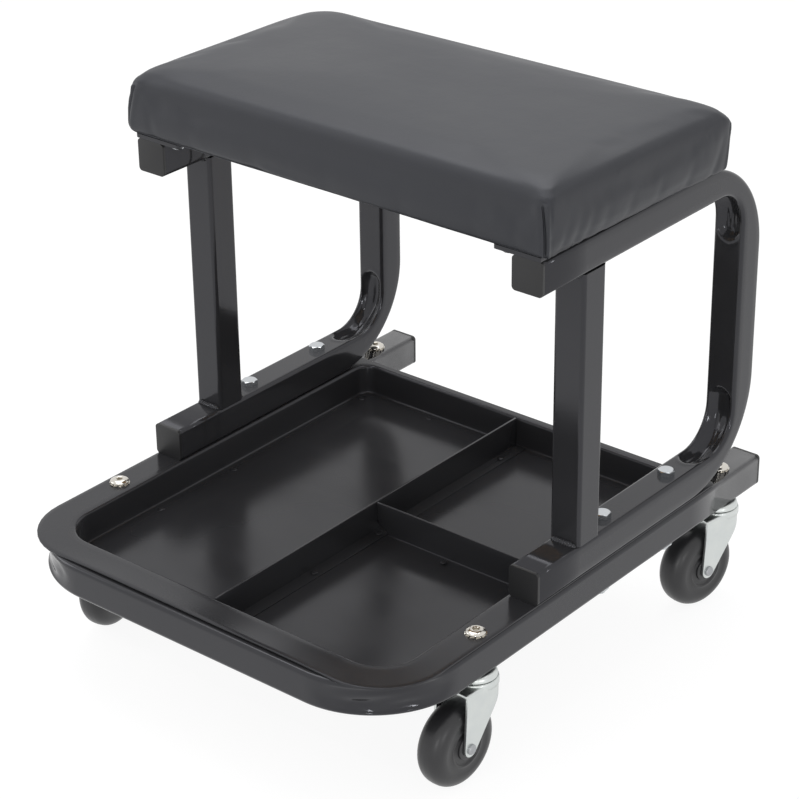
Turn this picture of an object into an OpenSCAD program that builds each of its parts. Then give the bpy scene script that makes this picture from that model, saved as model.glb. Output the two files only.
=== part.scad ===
// Rolling work seat. A bent-tube base on four swivel casters carries a divided
// tool tray and two C-shaped side frames, which hold a padded seat.
// Millimetres, +Z up, front at -Y. The origin lies on the floor under the
// middle of the base frame.

/* [Tube] */
// Outer width and height of the square steel tube
tube_w = 25.4; // [24:0.2:28]
// Wall thickness of the tube
tube_wall = 1.6; // [1.2:0.1:2.4]
// Outer corner radius of the tube
tube_corner_r = 3; // [2.5:0.1:4.5]
// Radius that the inner wall keeps where a bend is pressed in
bend_inner_r = 30; // [26:1:40]

/* [Base frame] */
// Overall width of the base frame
base_w = 368; // [350:1:420]
// Overall length of the base frame
base_len = 448; // [436:1:500]
// Outer radius of the base frame's bends
base_bend_r = 76; // [70:1:80]

/* [Tray] */
// Thickness of the tray's sheet
sheet_t = 1.5; // [1:0.1:2]
// Depth of the tray, flange top to floor top
tray_depth = 24.6; // [18:0.2:25]
// Length of the tray's flange, front edge to rear edge
tray_len = 381.2; // [370:0.2:386]
// Distance from the base frame's front face to the flange's front edge
tray_set_back = 6; // [2:0.5:12]
// Distance from the base frame's side face to the flange's side edge
flange_inset = 1.2; // [0:0.2:3]
// Width of the flange at the front
front_flange_w = 25; // [25:0.5:40]
// Width of the flange at the rear
rear_flange_w = 7.6; // [5:0.2:20]
// Corner radius of the flange at the front
flange_corner_r = 50; // [35:1:56]
// Corner radius of the tray's opening at the front
tray_front_corner_r = 30; // [27:1:40]
// Corner radius of the tray's opening at the rear
tray_rear_corner_r = 12; // [9:1:30]
// Radius between the tray's walls and its floor
tray_foot_r = 4; // [3:0.5:4]
// Gap between the tray's walls and the side rails
tray_side_gap = 0.3; // [0.2:0.1:1]

/* [Dividers] */
// Thickness of the dividers
divider_t = 2; // [1.2:0.1:3]
// Distance from the front of the tray's opening to the cross divider
cross_divider_at = 174; // [120:1:230]
// Width of the dividers' foot flanges
divider_foot_w = 11; // [8:0.5:16]
// Gap between a divider and the pan that it stands in
divider_gap = 0.1; // [0.05:0.05:0.3]

/* [Side frames] */
// Height of each side frame
side_h = 260.4; // [240:0.2:290]
// Depth of each side frame, front ends to rear face
side_depth = 269.7; // [262:0.1:280]
// Outer radius of the side frames' bends
side_bend_r = 78; // [72:1:80]
// Distance from the base frame's front face to the side frames' front ends
side_set_back = 161.2; // [156:0.2:166]
// Distance from the side frames' front ends to the posts
post_at = 47.4; // [40:0.2:58]
// Thickness of the caps on the tube ends
cap_t = 2.5; // [1.5:0.1:4]
// Depth to which a cap's plug reaches into its tube
plug_len = 14; // [8:1:20]
// Size of the weld beads
weld_r = 3.2; // [2:0.1:4]

/* [Frame bolts] */
// Shank diameter of the frame bolts
bolt_d = 6.35; // [5:0.05:8]
// Width across the flats of the bolts and nuts
bolt_flats = 11.1; // [10:0.1:13]
// Height of a bolt's head
bolt_head_h = 4.4; // [3.5:0.1:6]
// Height of a nut
nut_h = 5.6; // [4:0.1:7]
// Outer diameter of a washer
washer_d = 16; // [14:0.5:20]
// Thickness of a washer
washer_t = 1.5; // [1:0.1:2]
// Distance from the side frames' front ends to the front bolts
front_bolt_at = 94; // [88:1:120]
// Distance from the side frames' front ends to the rear bolts
rear_bolt_at = 175; // [150:1:180]

/* [Casters] */
// Height of a caster, floor to the base frame's underside
caster_h = 82.5; // [82:0.5:95]
// Diameter of a wheel
wheel_d = 65; // [55:0.5:68]
// Width of a wheel's tread
wheel_w = 23; // [21:0.5:25]
// Radius of the wheel's rounded shoulders
wheel_shoulder_r = 10; // [6:0.5:10]
// Distance from the swivel axis to the wheel's axle
caster_trail = 22; // [18:0.5:24]
// Sheet thickness of a caster's fork
fork_t = 2; // [1.5:0.1:2.5]
// Radius of a fork's round crown
fork_crown_r = 16.5; // [16.5:0.5:20]
// Radius of a fork's leg round the axle
fork_end_r = 6; // [6:0.5:8]
// Height of the raceway cap above the fork
race_h = 5; // [5:0.1:7]
// Diameter of a swivel ball
ball_d = 3.3; // [2.8:0.1:3.5]
// Distance from the base frame's front face to the front casters
front_caster_at = 107.8; // [100:0.2:120]
// Distance from the base frame's rear face to the rear casters
rear_caster_at = 38; // [30:0.2:50]
// Turn of the front left caster
front_left_turn = 12; // [-180:1:180]
// Turn of the front right caster
front_right_turn = -2.5; // [-180:0.5:180]
// Turn of the rear left caster
rear_left_turn = 5; // [-180:1:180]
// Turn of the rear right caster
rear_right_turn = -11; // [-180:1:180]

/* [Seat] */
// Width of the cushion
seat_w = 380; // [360:1:400]
// Depth of the cushion, front to back
seat_depth = 203; // [190:1:215]
// Height of the cushion's sides
seat_side_h = 46; // [40:1:60]
// Rise of the crown above the cushion's edges
seat_crown = 9; // [4:1:20]
// Radius of the cushion's top edges
seat_edge_r = 11; // [8:1:16]
// Corner radius of the cushion in plan
seat_corner_r = 9; // [8:1:20]
// Distance that the sides are drawn in at the cushion's bottom
seat_tuck = 1; // [1:0.5:6]
// Distance that the sides are drawn in between the corners
seat_bow = 1; // [0:0.5:4]
// Distance from the side frames' front ends to the cushion's front
seat_set_back = 0; // [-4:1:10]
// Thickness of the vinyl cover
cover_t = 1; // [0.8:0.1:1.5]
// Width of the cover's hem under the board
hem_w = 24; // [20:1:34]
// Thickness of the plywood board
board_t = 12; // [9:0.5:15]
// Thickness of the seat plates
plate_t = 3.2; // [2.5:0.1:4]
// Width of the seat plates, across the tube and its tab
plate_w = 42.5; // [40:0.5:50]
// Length of the seat plates along the tube
plate_len = 38; // [30:1:45]
// Distance from the cushion's rear edge to the rear plates
rear_plate_at = 6; // [2:1:12]

/* [Hidden] */
$fn = 48;
// Overrun of every cut past the face that it opens
over = 1;
// Lap of the solids that are joined into one
lap = 1;

// Heights of the frame's levels
base_z = caster_h;
rail_top_z = base_z + tube_w;
flange_top_z = rail_top_z + sheet_t;
side_rail_top_z = flange_top_z + tube_w;
side_top_z = flange_top_z + side_h;
seat_z = side_top_z + plate_t;
board_z = seat_z + cover_t;
board_top_z = board_z + board_t;

// Places along the length, front at -Y
base_front_y = -base_len / 2;
base_rear_y = base_len / 2;
side_front_y = base_front_y + side_set_back;
tray_front_y = base_front_y + tray_set_back;
tray_rear_y = tray_front_y + tray_len;
seat_front_y = side_front_y + seat_set_back;
post_y = side_front_y + post_at;
front_caster_y = base_front_y + front_caster_at;
rear_caster_y = base_rear_y - rear_caster_at;
// The side frames' rear bends rise clear of the rear casters' nuts
nut_room = 7;
bend_rise = 5;
bend_rise_len = sqrt(side_bend_r * side_bend_r - (side_bend_r - bend_rise) * (side_bend_r - bend_rise));
bend_limit_y = rear_caster_y - nut_room - bend_rise_len;
frame_depth = min(side_depth, bend_limit_y + side_bend_r - side_front_y);
bend_start_y = side_front_y + frame_depth - side_bend_r;
// The cushion ends where its rear plates still have their hold on the rails
plate_past_bend = 20;
cushion_limit = bend_start_y + plate_past_bend + rear_plate_at - seat_front_y;
cushion_depth = min(seat_depth, cushion_limit);
seat_rear_y = seat_front_y + cushion_depth;
seat_mid_y = seat_front_y + cushion_depth / 2;
rear_plate_y = seat_rear_y - rear_plate_at - plate_len;

// Places across the width
rail_x = (base_w - tube_w) / 2;
rail_inner_x = base_w / 2 - tube_w;
side_signs = [-1, 1];

// Tube section's inner corner, and the caps' plugs
tube_inner_r = max(tube_corner_r - tube_wall, tube_wall / 4);
plug_gap = 0.1;
plug_wall = 1.6;

// Fasteners of the frame
bolt_hole_gap = 0.35;
bolt_hole_r = bolt_d / 2 + bolt_hole_gap;
bolt_thread_gap = 0.08;
bolt_end = 3;

// Tray pan
wall_x = rail_inner_x - tray_side_gap - sheet_t;
wall_front_y = tray_front_y + front_flange_w;
wall_rear_y = tray_rear_y - rear_flange_w;
floor_z = flange_top_z - tray_depth;
flange_rear_r = 4;
cross_y = wall_front_y + cross_divider_at;
divider_top_z = flange_top_z;
foot_gap = 0.6;

// Tack welds that hold the dividers' feet and the pan's edges
tack_r = 3;
tack_t = 0.5;
tack_gap = 0.5;
tack_edge = tray_foot_r + tack_r + tack_gap;
wall_tack_shares = [0.28, 0.96];
long_tack_shares = [0.28, 0.49, 0.92];
cross_tack_shares = [0.45, 0.85];
rear_tack_share = 0.53;

// Casters: the kingpin, its thread and the barrel nut above the rail
CASTERS = [
  ["front_left", -rail_x, front_caster_y, front_left_turn, flange_top_z],
  ["front_right", rail_x, front_caster_y, front_right_turn, flange_top_z],
  ["rear_left", -rail_x, rear_caster_y, rear_left_turn, rail_top_z],
  ["rear_right", rail_x, rear_caster_y, rear_right_turn, rail_top_z]
];
CASTER_PARTS = ["stem", "race", "balls", "thrust_washer", "fork", "axle", "sleeve", "wheel"];
wheel_r = wheel_d / 2;
tread_flat = wheel_w / 2 - wheel_shoulder_r;
hub_r = 9.5;
hub_proud = 1;
hub_w = wheel_w + 2 * hub_proud;
recess_r = 14;
recess_depth = 1.2;
running_gap = 0.05;
axle_r = 3;
axle_head_r = 3.9;
axle_head_t = 1.3;
sleeve_wall = 1.3;
sleeve_r = axle_r + running_gap + sleeve_wall;
wheel_gap = 0.5;
leg_in_x = hub_w / 2 + wheel_gap;
leg_out_x = leg_in_x + fork_t;
fork_fold_r = 3;
fork_top_z = caster_h - race_h;
fork_rise = 1.5;
fork_plate_z = fork_top_z - fork_rise;
fork_front = caster_trail + fork_end_r;
fork_draw = 2.8;
leg_rear = sqrt(fork_crown_r * fork_crown_r - leg_out_x * leg_out_x);
leg_lean = 37;
race_r = fork_crown_r - 1;
race_t = 1.5;
race_rim = 2;
race_gap = 0.4;
ball_gap = (race_h - race_t - ball_d) / 2;
ball_ring_r = 11.5;
ball_count = 12;
king_r = 5;
king_head_r = 8;
king_head_t = 1.6;
thrust_t = 1.7;
thrust_r = 9.5;
thrust_gap = 0.1;
stem_r = 4;
stem_hole_gap = 0.3;
stem_top_gap = 5;
stem_top_z = rail_top_z - stem_top_gap;
barrel_r = 5;
barrel_len = 13;
barrel_hole_gap = 0.25;
barrel_floor = 1.5;
button_r = 6.9;
button_h = 3.4;
button_dome_r = 9;
socket_flats = 5;
socket_depth = 2.4;
tooth_washer_t = 0.8;
tooth_washer_r = 6.4;
tooth_len = 1;
tooth_w = 1.6;
tooth_count = 10;
cut_out_gap = 0.6;

// Places of the frame bolts, whose nuts stay clear of the rear forks' full turn
bolt_fork_gap = 2;
fork_swing_r = sqrt(fork_front * fork_front + leg_out_x * leg_out_x);
bolt_limit_y = rear_caster_y - fork_swing_r - bolt_flats - bolt_fork_gap;
bolt_ys = [side_front_y + front_bolt_at, min(side_front_y + rear_bolt_at, bolt_limit_y)];

// Seat: the cover's outline, the board, its screws and its staples
seat_a = seat_w / 2;
seat_b = cushion_depth / 2;
cover_gap = 0.3;
arc_z = seat_z + seat_side_h - seat_edge_r;
form_side_shares = [0, 0.2, 0.5];
form_edge_angles = [0, 25, 50, 75];
form_crown_shares = [0.94, 0.8, 0.6, 0.3];
corner_angles = [0, 30, 60, 90];
long_side_shares = [0.17, 0.33, 0.5, 0.67, 0.83];
short_side_shares = [0.25, 0.5, 0.75];
board_inset = seat_tuck + seat_bow + cover_t + cover_gap;
board_corner_r = seat_corner_r;
plate_out = 1.5;
plate_corner_r = 2;
plate_out_x = base_w / 2 + plate_out;
tab_len = plate_w - plate_out - tube_w;
seat_screw_x = rail_inner_x - tab_len / 2;
seat_screw_at = 8;
seat_screw_r = 2.1;
seat_screw_head_r = 4.8;
seat_screw_head_h = 2.6;
seat_screw_hole_gap = 0.3;
seat_screw_tip = 2;
staple_w = 10;
staple_wire = 0.8;
staple_leg = 6;
long_staple_shares = [-0.6, -0.3, 0, 0.3, 0.6];
short_staple_shares = [-0.3, 0, 0.3];

// Square with rounded corners, drawn in by inset on every side
module rounded_square(w, r, inset = 0) {
  s = w - 2 * inset;
  translate([inset, inset]) {
    translate([r, 0]) square([s - 2 * r, s]);
    translate([0, r]) square([s, s - 2 * r]);
    for (x = [r, s - r])
      for (y = [r, s - r])
        translate([x, y]) circle(r);
  }
}

// Bar of the tube's height, rounded at its far end only
module far_round_bar(len, r, inset) {
  h = tube_w - 2 * inset;
  translate([0, inset]) {
    square([len - r, h]);
    translate([0, r]) square([len, h - 2 * r]);
    for (y = [r, h - r])
      translate([len - r, y]) circle(r);
  }
}

// Bar of the tube's height, rounded at its near end only
module near_round_bar(start, len, r, inset) {
  h = tube_w - 2 * inset;
  translate([start, inset]) {
    translate([r, 0]) square([len - r, h]);
    translate([0, r]) square([len, h - 2 * r]);
    for (y = [r, h - r])
      translate([r, y]) circle(r);
  }
}

// Radius of the section's corners at a given inset
function section_r(inset) = inset > 0 ? tube_inner_r : tube_corner_r;

// Straight length of tube along +X, its outer corner at the origin
module tube_bar(len, inset = 0) {
  rotate([90, 0, 90]) linear_extrude(len) rounded_square(tube_w, section_r(inset), inset);
}

// Quarter bend whose outer faces lie at X = outer_r and Y = outer_r. The outer wall
// follows outer_r, and the inner wall is pressed in to the bend's smaller radius.
module tube_bend(outer_r, inset = 0) {
  r = section_r(inset);
  stub = outer_r - tube_w - bend_inner_r;
  inner_x = outer_r - tube_w + inset;
  intersection() {
    rotate_extrude(angle = 90, $fn = 96) far_round_bar(outer_r - inset, r, inset);
    union() {
      translate([stub, stub, 0])
        rotate_extrude(angle = 90, $fn = 96) near_round_bar(bend_inner_r + inset, 2 * tube_w, r, inset);
      translate([0, stub, 0])
        rotate([90, 0, 0]) linear_extrude(stub) near_round_bar(inner_x, 2 * tube_w, r, inset);
      mirror([1, -1, 0]) translate([0, stub, 0])
        rotate([90, 0, 0]) linear_extrude(stub) near_round_bar(inner_x, 2 * tube_w, r, inset);
    }
  }
}

// The base frame's path at a given inset. The rear ends grow by past.
module base_path(inset = 0, past = 0) {
  rail_len = base_len - base_bend_r - cap_t + past;
  front_len = base_w - 2 * base_bend_r;
  for (side = side_signs)
    scale_x(side) {
      translate([base_w / 2 - base_bend_r, base_front_y + base_bend_r, base_z])
        mirror([0, 1, 0]) tube_bend(base_bend_r, inset);
      translate([base_w / 2, base_front_y + base_bend_r, base_z])
        rotate([0, 0, 90]) tube_bar(rail_len, inset);
    }
  translate([-front_len / 2, base_front_y, base_z]) tube_bar(front_len, inset);
}

// Mirrors its children to -X where side is -1
module scale_x(side) {
  if (side < 0) mirror([1, 0, 0]) children();
  else children();
}

// A side frame's path, from its lower front end round to its upper one
module side_path(inset = 0, past = 0) {
  bar_len = frame_depth - side_bend_r - cap_t + past;
  rear_len = side_h - 2 * side_bend_r;
  translate([rail_inner_x, side_front_y, flange_top_z]) rotate([90, 0, 90]) {
    translate([cap_t - past, 0, 0]) tube_bar(bar_len, inset);
    translate([frame_depth - side_bend_r, side_bend_r, 0])
      mirror([0, 1, 0]) tube_bend(side_bend_r, inset);
    translate([frame_depth, side_bend_r, 0]) rotate([0, 0, 90]) tube_bar(rear_len, inset);
    translate([frame_depth - side_bend_r, side_h - side_bend_r, 0]) tube_bend(side_bend_r, inset);
    translate([cap_t - past, side_h - tube_w, 0]) tube_bar(bar_len, inset);
  }
}

// Upright cylinders through the rails at the frame bolts
module bolt_holes(side, low, high) {
  for (y = bolt_ys)
    translate([side * rail_x, y, low]) cylinder(h = high - low, r = bolt_hole_r);
}

module base_frame() {
  color("#2b2b2d") difference() {
    base_path();
    base_path(tube_wall, over);
    for (side = side_signs)
      bolt_holes(side, base_z - over, rail_top_z + over);
    for (c = CASTERS)
      translate([c[1], c[2], base_z]) {
        translate([0, 0, -over]) cylinder(h = tube_w / 2 + over, r = stem_r + stem_hole_gap);
        translate([0, 0, tube_w / 2]) cylinder(h = tube_w / 2 + over, r = barrel_r + barrel_hole_gap);
      }
  }
}

// Cap on a tube's end, facing -Y, with its outer corner at the origin
module end_cap() {
  rotate([90, 0, 0]) translate([0, 0, -cap_t]) linear_extrude(cap_t)
    rounded_square(tube_w, tube_corner_r);
  rotate([90, 0, 0]) translate([0, 0, -cap_t - plug_len]) linear_extrude(plug_len)
    difference() {
      rounded_square(tube_w, tube_inner_r, tube_wall + plug_gap);
      rounded_square(tube_w, tube_inner_r, tube_wall + plug_gap + plug_wall);
    }
}

module base_end_plugs() {
  color("#1d1d1e")
    for (side = side_signs)
      scale_x(side) translate([rail_inner_x, base_rear_y, base_z]) mirror([0, 1, 0]) end_cap();
}

module side_frame_caps() {
  color("#1d1d1e")
    for (side = side_signs)
      for (z = [flange_top_z, side_top_z - tube_w])
        scale_x(side) translate([rail_inner_x, side_front_y, z]) end_cap();
}

module side_frame(side) {
  color("#2b2b2d") scale_x(side) difference() {
    side_path();
    side_path(tube_wall, over);
    bolt_holes(1, flange_top_z - over, side_rail_top_z + over);
  }
}

module post(side) {
  color("#2b2b2d") scale_x(side)
    translate([rail_inner_x, post_y, side_rail_top_z])
      linear_extrude(side_h - 2 * tube_w)
        difference() {
          rounded_square(tube_w, tube_corner_r);
          rounded_square(tube_w, tube_inner_r, tube_wall);
        }
}

// Quarter-round weld bead along +X, lying in the corner of two faces
module weld_bead(len) {
  rotate([90, 0, 90]) intersection() {
    cylinder(h = len, r = weld_r);
    cube([weld_r, weld_r, len]);
  }
}

module frame_weld_beads() {
  bead_len = tube_w - 2 * tube_corner_r;
  color("#3a3a3c")
    for (side = side_signs)
      for (front = [0, 1])
        for (top = [0, 1])
          scale_x(side)
            translate([rail_inner_x + tube_corner_r, post_y + (1 - front) * tube_w,
                       top > 0 ? side_top_z - tube_w : side_rail_top_z])
              mirror([0, front, 0]) mirror([0, 0, top]) weld_bead(bead_len);
}

module frame_bolts() {
  shank_len = side_rail_top_z - base_z + washer_t + nut_h + bolt_end;
  color("#d0d2d4")
    for (side = side_signs)
      for (y = bolt_ys)
        translate([side * rail_x, y, side_rail_top_z]) {
          cylinder(h = bolt_head_h, d = bolt_flats / cos(30), $fn = 6);
          translate([0, 0, -shank_len]) cylinder(h = shank_len, d = bolt_d);
        }
}

module frame_washers() {
  color("#c4c6c8")
    for (side = side_signs)
      for (y = bolt_ys)
        translate([side * rail_x, y, base_z - washer_t]) difference() {
          cylinder(h = washer_t, d = washer_d);
          translate([0, 0, -over]) cylinder(h = washer_t + 2 * over, r = bolt_hole_r);
        }
}

module frame_nuts() {
  color("#c4c6c8")
    for (side = side_signs)
      for (y = bolt_ys)
        translate([side * rail_x, y, base_z - washer_t - nut_h]) difference() {
          cylinder(h = nut_h, d = bolt_flats / cos(30), $fn = 6);
          translate([0, 0, -over])
            cylinder(h = nut_h + 2 * over, r = bolt_d / 2 + bolt_thread_gap);
        }
}

// Side of the pan's block: square above, rounded to the floor at its far edge
module foot_profile(reach, high, foot) {
  square([reach - foot, high]);
  translate([0, foot]) square([reach, high - foot]);
  translate([reach - foot, foot]) circle(foot);
}

// Solid that fills the pan, grown by grow at its walls and floor
module pan_block(grow, top_z) {
  x = wall_x + grow;
  front_y = wall_front_y - grow;
  rear_y = wall_rear_y + grow;
  low_z = floor_z - grow;
  high = top_z - low_z;
  foot = tray_foot_r + grow;
  front_r = tray_front_corner_r + grow;
  rear_r = tray_rear_corner_r + grow;
  front_mid_y = front_y + front_r;
  rear_mid_y = rear_y - rear_r;
  for (side = side_signs)
    scale_x(side) {
      translate([0, rear_mid_y, low_z]) rotate([90, 0, 0])
        linear_extrude(rear_mid_y - front_mid_y) foot_profile(x, high, foot);
      translate([x - front_r, front_mid_y, low_z])
        rotate_extrude($fn = 96) foot_profile(front_r, high, foot);
      translate([x - rear_r, rear_mid_y, low_z])
        rotate_extrude($fn = 96) foot_profile(rear_r, high, foot);
      translate([0, front_mid_y + lap, low_z]) rotate([90, 0, -90]) mirror([0, 0, 1])
        linear_extrude(x - front_r) foot_profile(front_r + lap, high, foot);
      translate([0, rear_mid_y - lap, low_z]) rotate([90, 0, 90])
        linear_extrude(x - rear_r) foot_profile(rear_r + lap, high, foot);
    }
}

// Outline of the tray's flange
module flange_outline() {
  x = base_w / 2 - flange_inset;
  front_r = flange_corner_r;
  for (side = side_signs)
    scale_x(side) {
      translate([0, tray_front_y + front_r])
        square([x, tray_len - front_r - flange_rear_r]);
      translate([0, tray_front_y]) square([x - front_r, tray_len]);
      translate([x - front_r, tray_front_y + front_r]) circle(front_r, $fn = 96);
      translate([0, tray_rear_y - front_r]) square([x - flange_rear_r, front_r]);
      translate([x - flange_rear_r, tray_rear_y - flange_rear_r]) circle(flange_rear_r);
    }
}

// Hole in the flange at a caster: the nut's where its washer lies on the flange, and
// round the washer where that lies on the rail
function flange_hole_r(c) =
  c[4] > rail_top_z ? barrel_r + barrel_hole_gap : tooth_washer_r + tooth_len + cut_out_gap;

module tray_pan() {
  color("#242425") difference() {
    union() {
      translate([0, 0, rail_top_z]) linear_extrude(sheet_t) flange_outline();
      pan_block(sheet_t, rail_top_z + sheet_t / 2);
    }
    pan_block(0, flange_top_z + over);
    for (side = side_signs)
      bolt_holes(side, rail_top_z - over, flange_top_z + over);
    for (c = CASTERS)
      translate([c[1], c[2], rail_top_z - over])
        cylinder(h = sheet_t + 2 * over, r = flange_hole_r(c));
  }
}

module long_divider() {
  web_len = wall_rear_y - wall_front_y;
  color("#2a2a2c") intersection() {
    union() {
      translate([-divider_t / 2, wall_front_y, floor_z])
        cube([divider_t, web_len, divider_top_z - floor_z]);
      translate([0, wall_front_y, floor_z])
        cube([divider_foot_w, web_len, divider_gap + sheet_t]);
    }
    pan_block(-divider_gap, divider_top_z);
  }
}

module cross_divider() {
  start_x = divider_t / 2 + divider_gap;
  foot_x = divider_foot_w + foot_gap;
  color("#2a2a2c") intersection() {
    difference() {
      union() {
        translate([start_x, cross_y - divider_t / 2, floor_z])
          cube([wall_x - start_x, divider_t, divider_top_z - floor_z]);
        translate([foot_x, cross_y - divider_foot_w, floor_z])
          cube([wall_x - foot_x, divider_foot_w, divider_gap + sheet_t]);
      }
      translate([0, cross_y - divider_foot_w, floor_z - over])
        cube([foot_x, 2 * divider_foot_w, over + sheet_t + foot_gap]);
    }
    pan_block(-divider_gap, divider_top_z);
  }
}

// One tack weld, a low round pad
module tack(x, y, z) {
  translate([x, y, z]) cylinder(h = tack_t, r = tack_r);
}

module tray_tack_welds() {
  web_len = wall_rear_y - wall_front_y;
  foot_top_z = floor_z + divider_gap + sheet_t;
  long_x = (divider_t / 2 + divider_foot_w) / 2;
  cross_front_y = cross_y - (divider_t / 2 + divider_foot_w) / 2;
  color("#3c3c3e") {
    for (side = side_signs) {
      for (share = wall_tack_shares)
        tack(side * (wall_x - tack_edge), wall_front_y + share * web_len, floor_z);
      tack(side * (wall_x - tack_edge), cross_y + divider_t / 2 + tack_r + tack_gap, floor_z);
      tack(side * rear_tack_share * wall_x, wall_rear_y - tack_edge, floor_z);
    }
    for (share = long_tack_shares)
      tack(long_x, wall_front_y + share * web_len, foot_top_z);
    for (share = cross_tack_shares)
      tack(share * wall_x, cross_front_y, foot_top_z);
  }
}

// Turns and moves a caster's pieces to its swivel axis
module at_caster(c) {
  translate([c[1], c[2], 0]) rotate([0, 0, c[3]]) children();
}

// Kingpin and threaded stem, riveted under the fork and through the raceway cap
module caster_stem() {
  head_top_z = fork_top_z - fork_t - thrust_t - 2 * thrust_gap;
  race_low_z = caster_h - race_t;
  color("#c9cbcc") {
    translate([0, 0, head_top_z - king_head_t]) cylinder(h = king_head_t, r = king_head_r);
    translate([0, 0, head_top_z]) cylinder(h = race_low_z - head_top_z, r = king_r);
    translate([0, 0, race_low_z]) cylinder(h = stem_top_z - race_low_z, r = stem_r);
  }
}

module caster_race() {
  rim_z = fork_top_z + race_gap;
  color("#dcdedf") translate([0, 0, rim_z]) difference() {
    cylinder(h = caster_h - rim_z, r = race_r);
    translate([0, 0, -over])
      cylinder(h = caster_h - race_t - rim_z + over, r = race_r - race_rim);
    cylinder(h = race_h + over, r = stem_r + running_gap);
  }
}

module caster_balls() {
  color("#e6e6e6")
    for (i = [0 : ball_count - 1])
      rotate([0, 0, i * 360 / ball_count])
        translate([ball_ring_r, 0, fork_top_z + ball_gap + ball_d / 2]) sphere(d = ball_d);
}

module caster_thrust_washer() {
  low_z = fork_top_z - fork_t - thrust_gap - thrust_t;
  color("#b8babc") translate([0, 0, low_z]) difference() {
    cylinder(h = thrust_t, r = thrust_r);
    translate([0, 0, -over]) cylinder(h = thrust_t + 2 * over, r = king_r + running_gap);
  }
}

// Side view of the fork, in Y and Z: drawn in at the front's top, leaning to the crown behind
module fork_side() {
  end = [-caster_trail, wheel_r];
  rear_touch = end + fork_end_r * [cos(leg_lean), -sin(leg_lean)];
  lean_rise = (leg_rear - rear_touch[0]) / tan(leg_lean);
  polygon([
    [-fork_front + fork_draw, fork_plate_z],
    [-fork_front, end[1]],
    end,
    rear_touch,
    [leg_rear, rear_touch[1] + lean_rise],
    [leg_rear, fork_plate_z]
  ]);
  translate(end) circle(fork_end_r);
}

// Front view of the fork, in X and Z: a channel with rounded upper edges
module fork_front_view(out_x, top_z, fold_r) {
  translate([-out_x, 0]) square([2 * out_x, top_z - fold_r]);
  translate([-out_x + fold_r, 0]) square([2 * (out_x - fold_r), top_z]);
  for (side = side_signs)
    translate([side * (out_x - fold_r), top_z - fold_r]) circle(fold_r);
}

module caster_fork() {
  depth = fork_front + leg_rear;
  color("#dcdedf") difference() {
    union() {
      intersection() {
        translate([0, leg_rear, 0]) rotate([90, 0, 0]) linear_extrude(depth)
          difference() {
            fork_front_view(leg_out_x, fork_plate_z, fork_fold_r);
            translate([0, -over])
              fork_front_view(leg_in_x, fork_plate_z - fork_t + over, fork_fold_r - fork_t);
          }
        translate([-leg_out_x, 0, 0]) rotate([90, 0, 90]) linear_extrude(2 * leg_out_x)
          fork_side();
      }
      translate([0, 0, fork_plate_z - fork_t]) cylinder(h = fork_t + fork_rise, r = fork_crown_r);
    }
    translate([0, 0, fork_plate_z - fork_t - over])
      cylinder(h = fork_rise + over, r = leg_in_x - fork_t / 2);
    translate([0, 0, fork_top_z - fork_t - over])
      cylinder(h = fork_t + 2 * over, r = king_r + running_gap);
    translate([-leg_out_x - over, -caster_trail, wheel_r])
      rotate([0, 90, 0]) cylinder(h = 2 * (leg_out_x + over), r = axle_r + running_gap);
  }
}

// Moves its children to the axle, with their axis along X
module on_axle() {
  translate([0, -caster_trail, wheel_r]) rotate([0, 90, 0]) children();
}

module caster_axle() {
  color("#c9cbcc") on_axle() {
    translate([0, 0, -leg_out_x]) cylinder(h = 2 * leg_out_x, r = axle_r);
    for (side = [0, 1])
      mirror([0, 0, side]) translate([0, 0, leg_out_x]) cylinder(h = axle_head_t, r = axle_head_r);
  }
}

module caster_sleeve() {
  len = 2 * leg_in_x - 2 * running_gap;
  color("#b8babc") on_axle() difference() {
    translate([0, 0, -len / 2]) cylinder(h = len, r = sleeve_r);
    translate([0, 0, -len / 2 - over]) cylinder(h = len + 2 * over, r = axle_r + running_gap);
  }
}

module caster_wheel() {
  bore_r = sleeve_r + running_gap;
  color("#1c1c1d") on_axle() rotate_extrude($fn = 96) difference() {
    union() {
      translate([0, -wheel_w / 2]) square([wheel_r - wheel_shoulder_r, wheel_w]);
      translate([0, -tread_flat]) square([wheel_r, 2 * tread_flat]);
      for (side = side_signs)
        translate([wheel_r - wheel_shoulder_r, side * tread_flat]) circle(wheel_shoulder_r);
      translate([0, -hub_w / 2]) square([hub_r, hub_w]);
    }
    translate([0, -hub_w]) square([bore_r, 2 * hub_w]);
    for (side = [0, 1])
      mirror([0, side]) translate([hub_r, wheel_w / 2 - recess_depth])
        square([recess_r - hub_r, recess_depth + over]);
  }
}

// Barrel nut that takes a caster's thread from above, with a domed socket head
module caster_barrel_nuts() {
  bore_len = barrel_len - barrel_floor;
  color("#d6d4cf")
    for (c = CASTERS)
      translate([c[1], c[2], c[4] + tooth_washer_t]) difference() {
        union() {
          intersection() {
            cylinder(h = button_h, r = button_r);
            translate([0, 0, button_h - button_dome_r]) sphere(button_dome_r, $fn = 64);
          }
          translate([0, 0, -barrel_len]) cylinder(h = barrel_len, r = barrel_r);
        }
        translate([0, 0, button_h - socket_depth])
          cylinder(h = socket_depth + over, d = socket_flats / cos(30), $fn = 6);
        translate([0, 0, -barrel_len - over])
          cylinder(h = bore_len + over, r = stem_r + running_gap);
      }
}

module caster_tooth_washers() {
  color("#cfcfc9")
    for (c = CASTERS)
      translate([c[1], c[2], c[4]]) linear_extrude(tooth_washer_t) difference() {
        union() {
          circle(tooth_washer_r);
          for (i = [0 : tooth_count - 1])
            rotate(i * 360 / tooth_count)
              translate([0, -tooth_w / 2]) square([tooth_washer_r + tooth_len, tooth_w]);
        }
        circle(barrel_r + barrel_hole_gap);
      }
}

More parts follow.
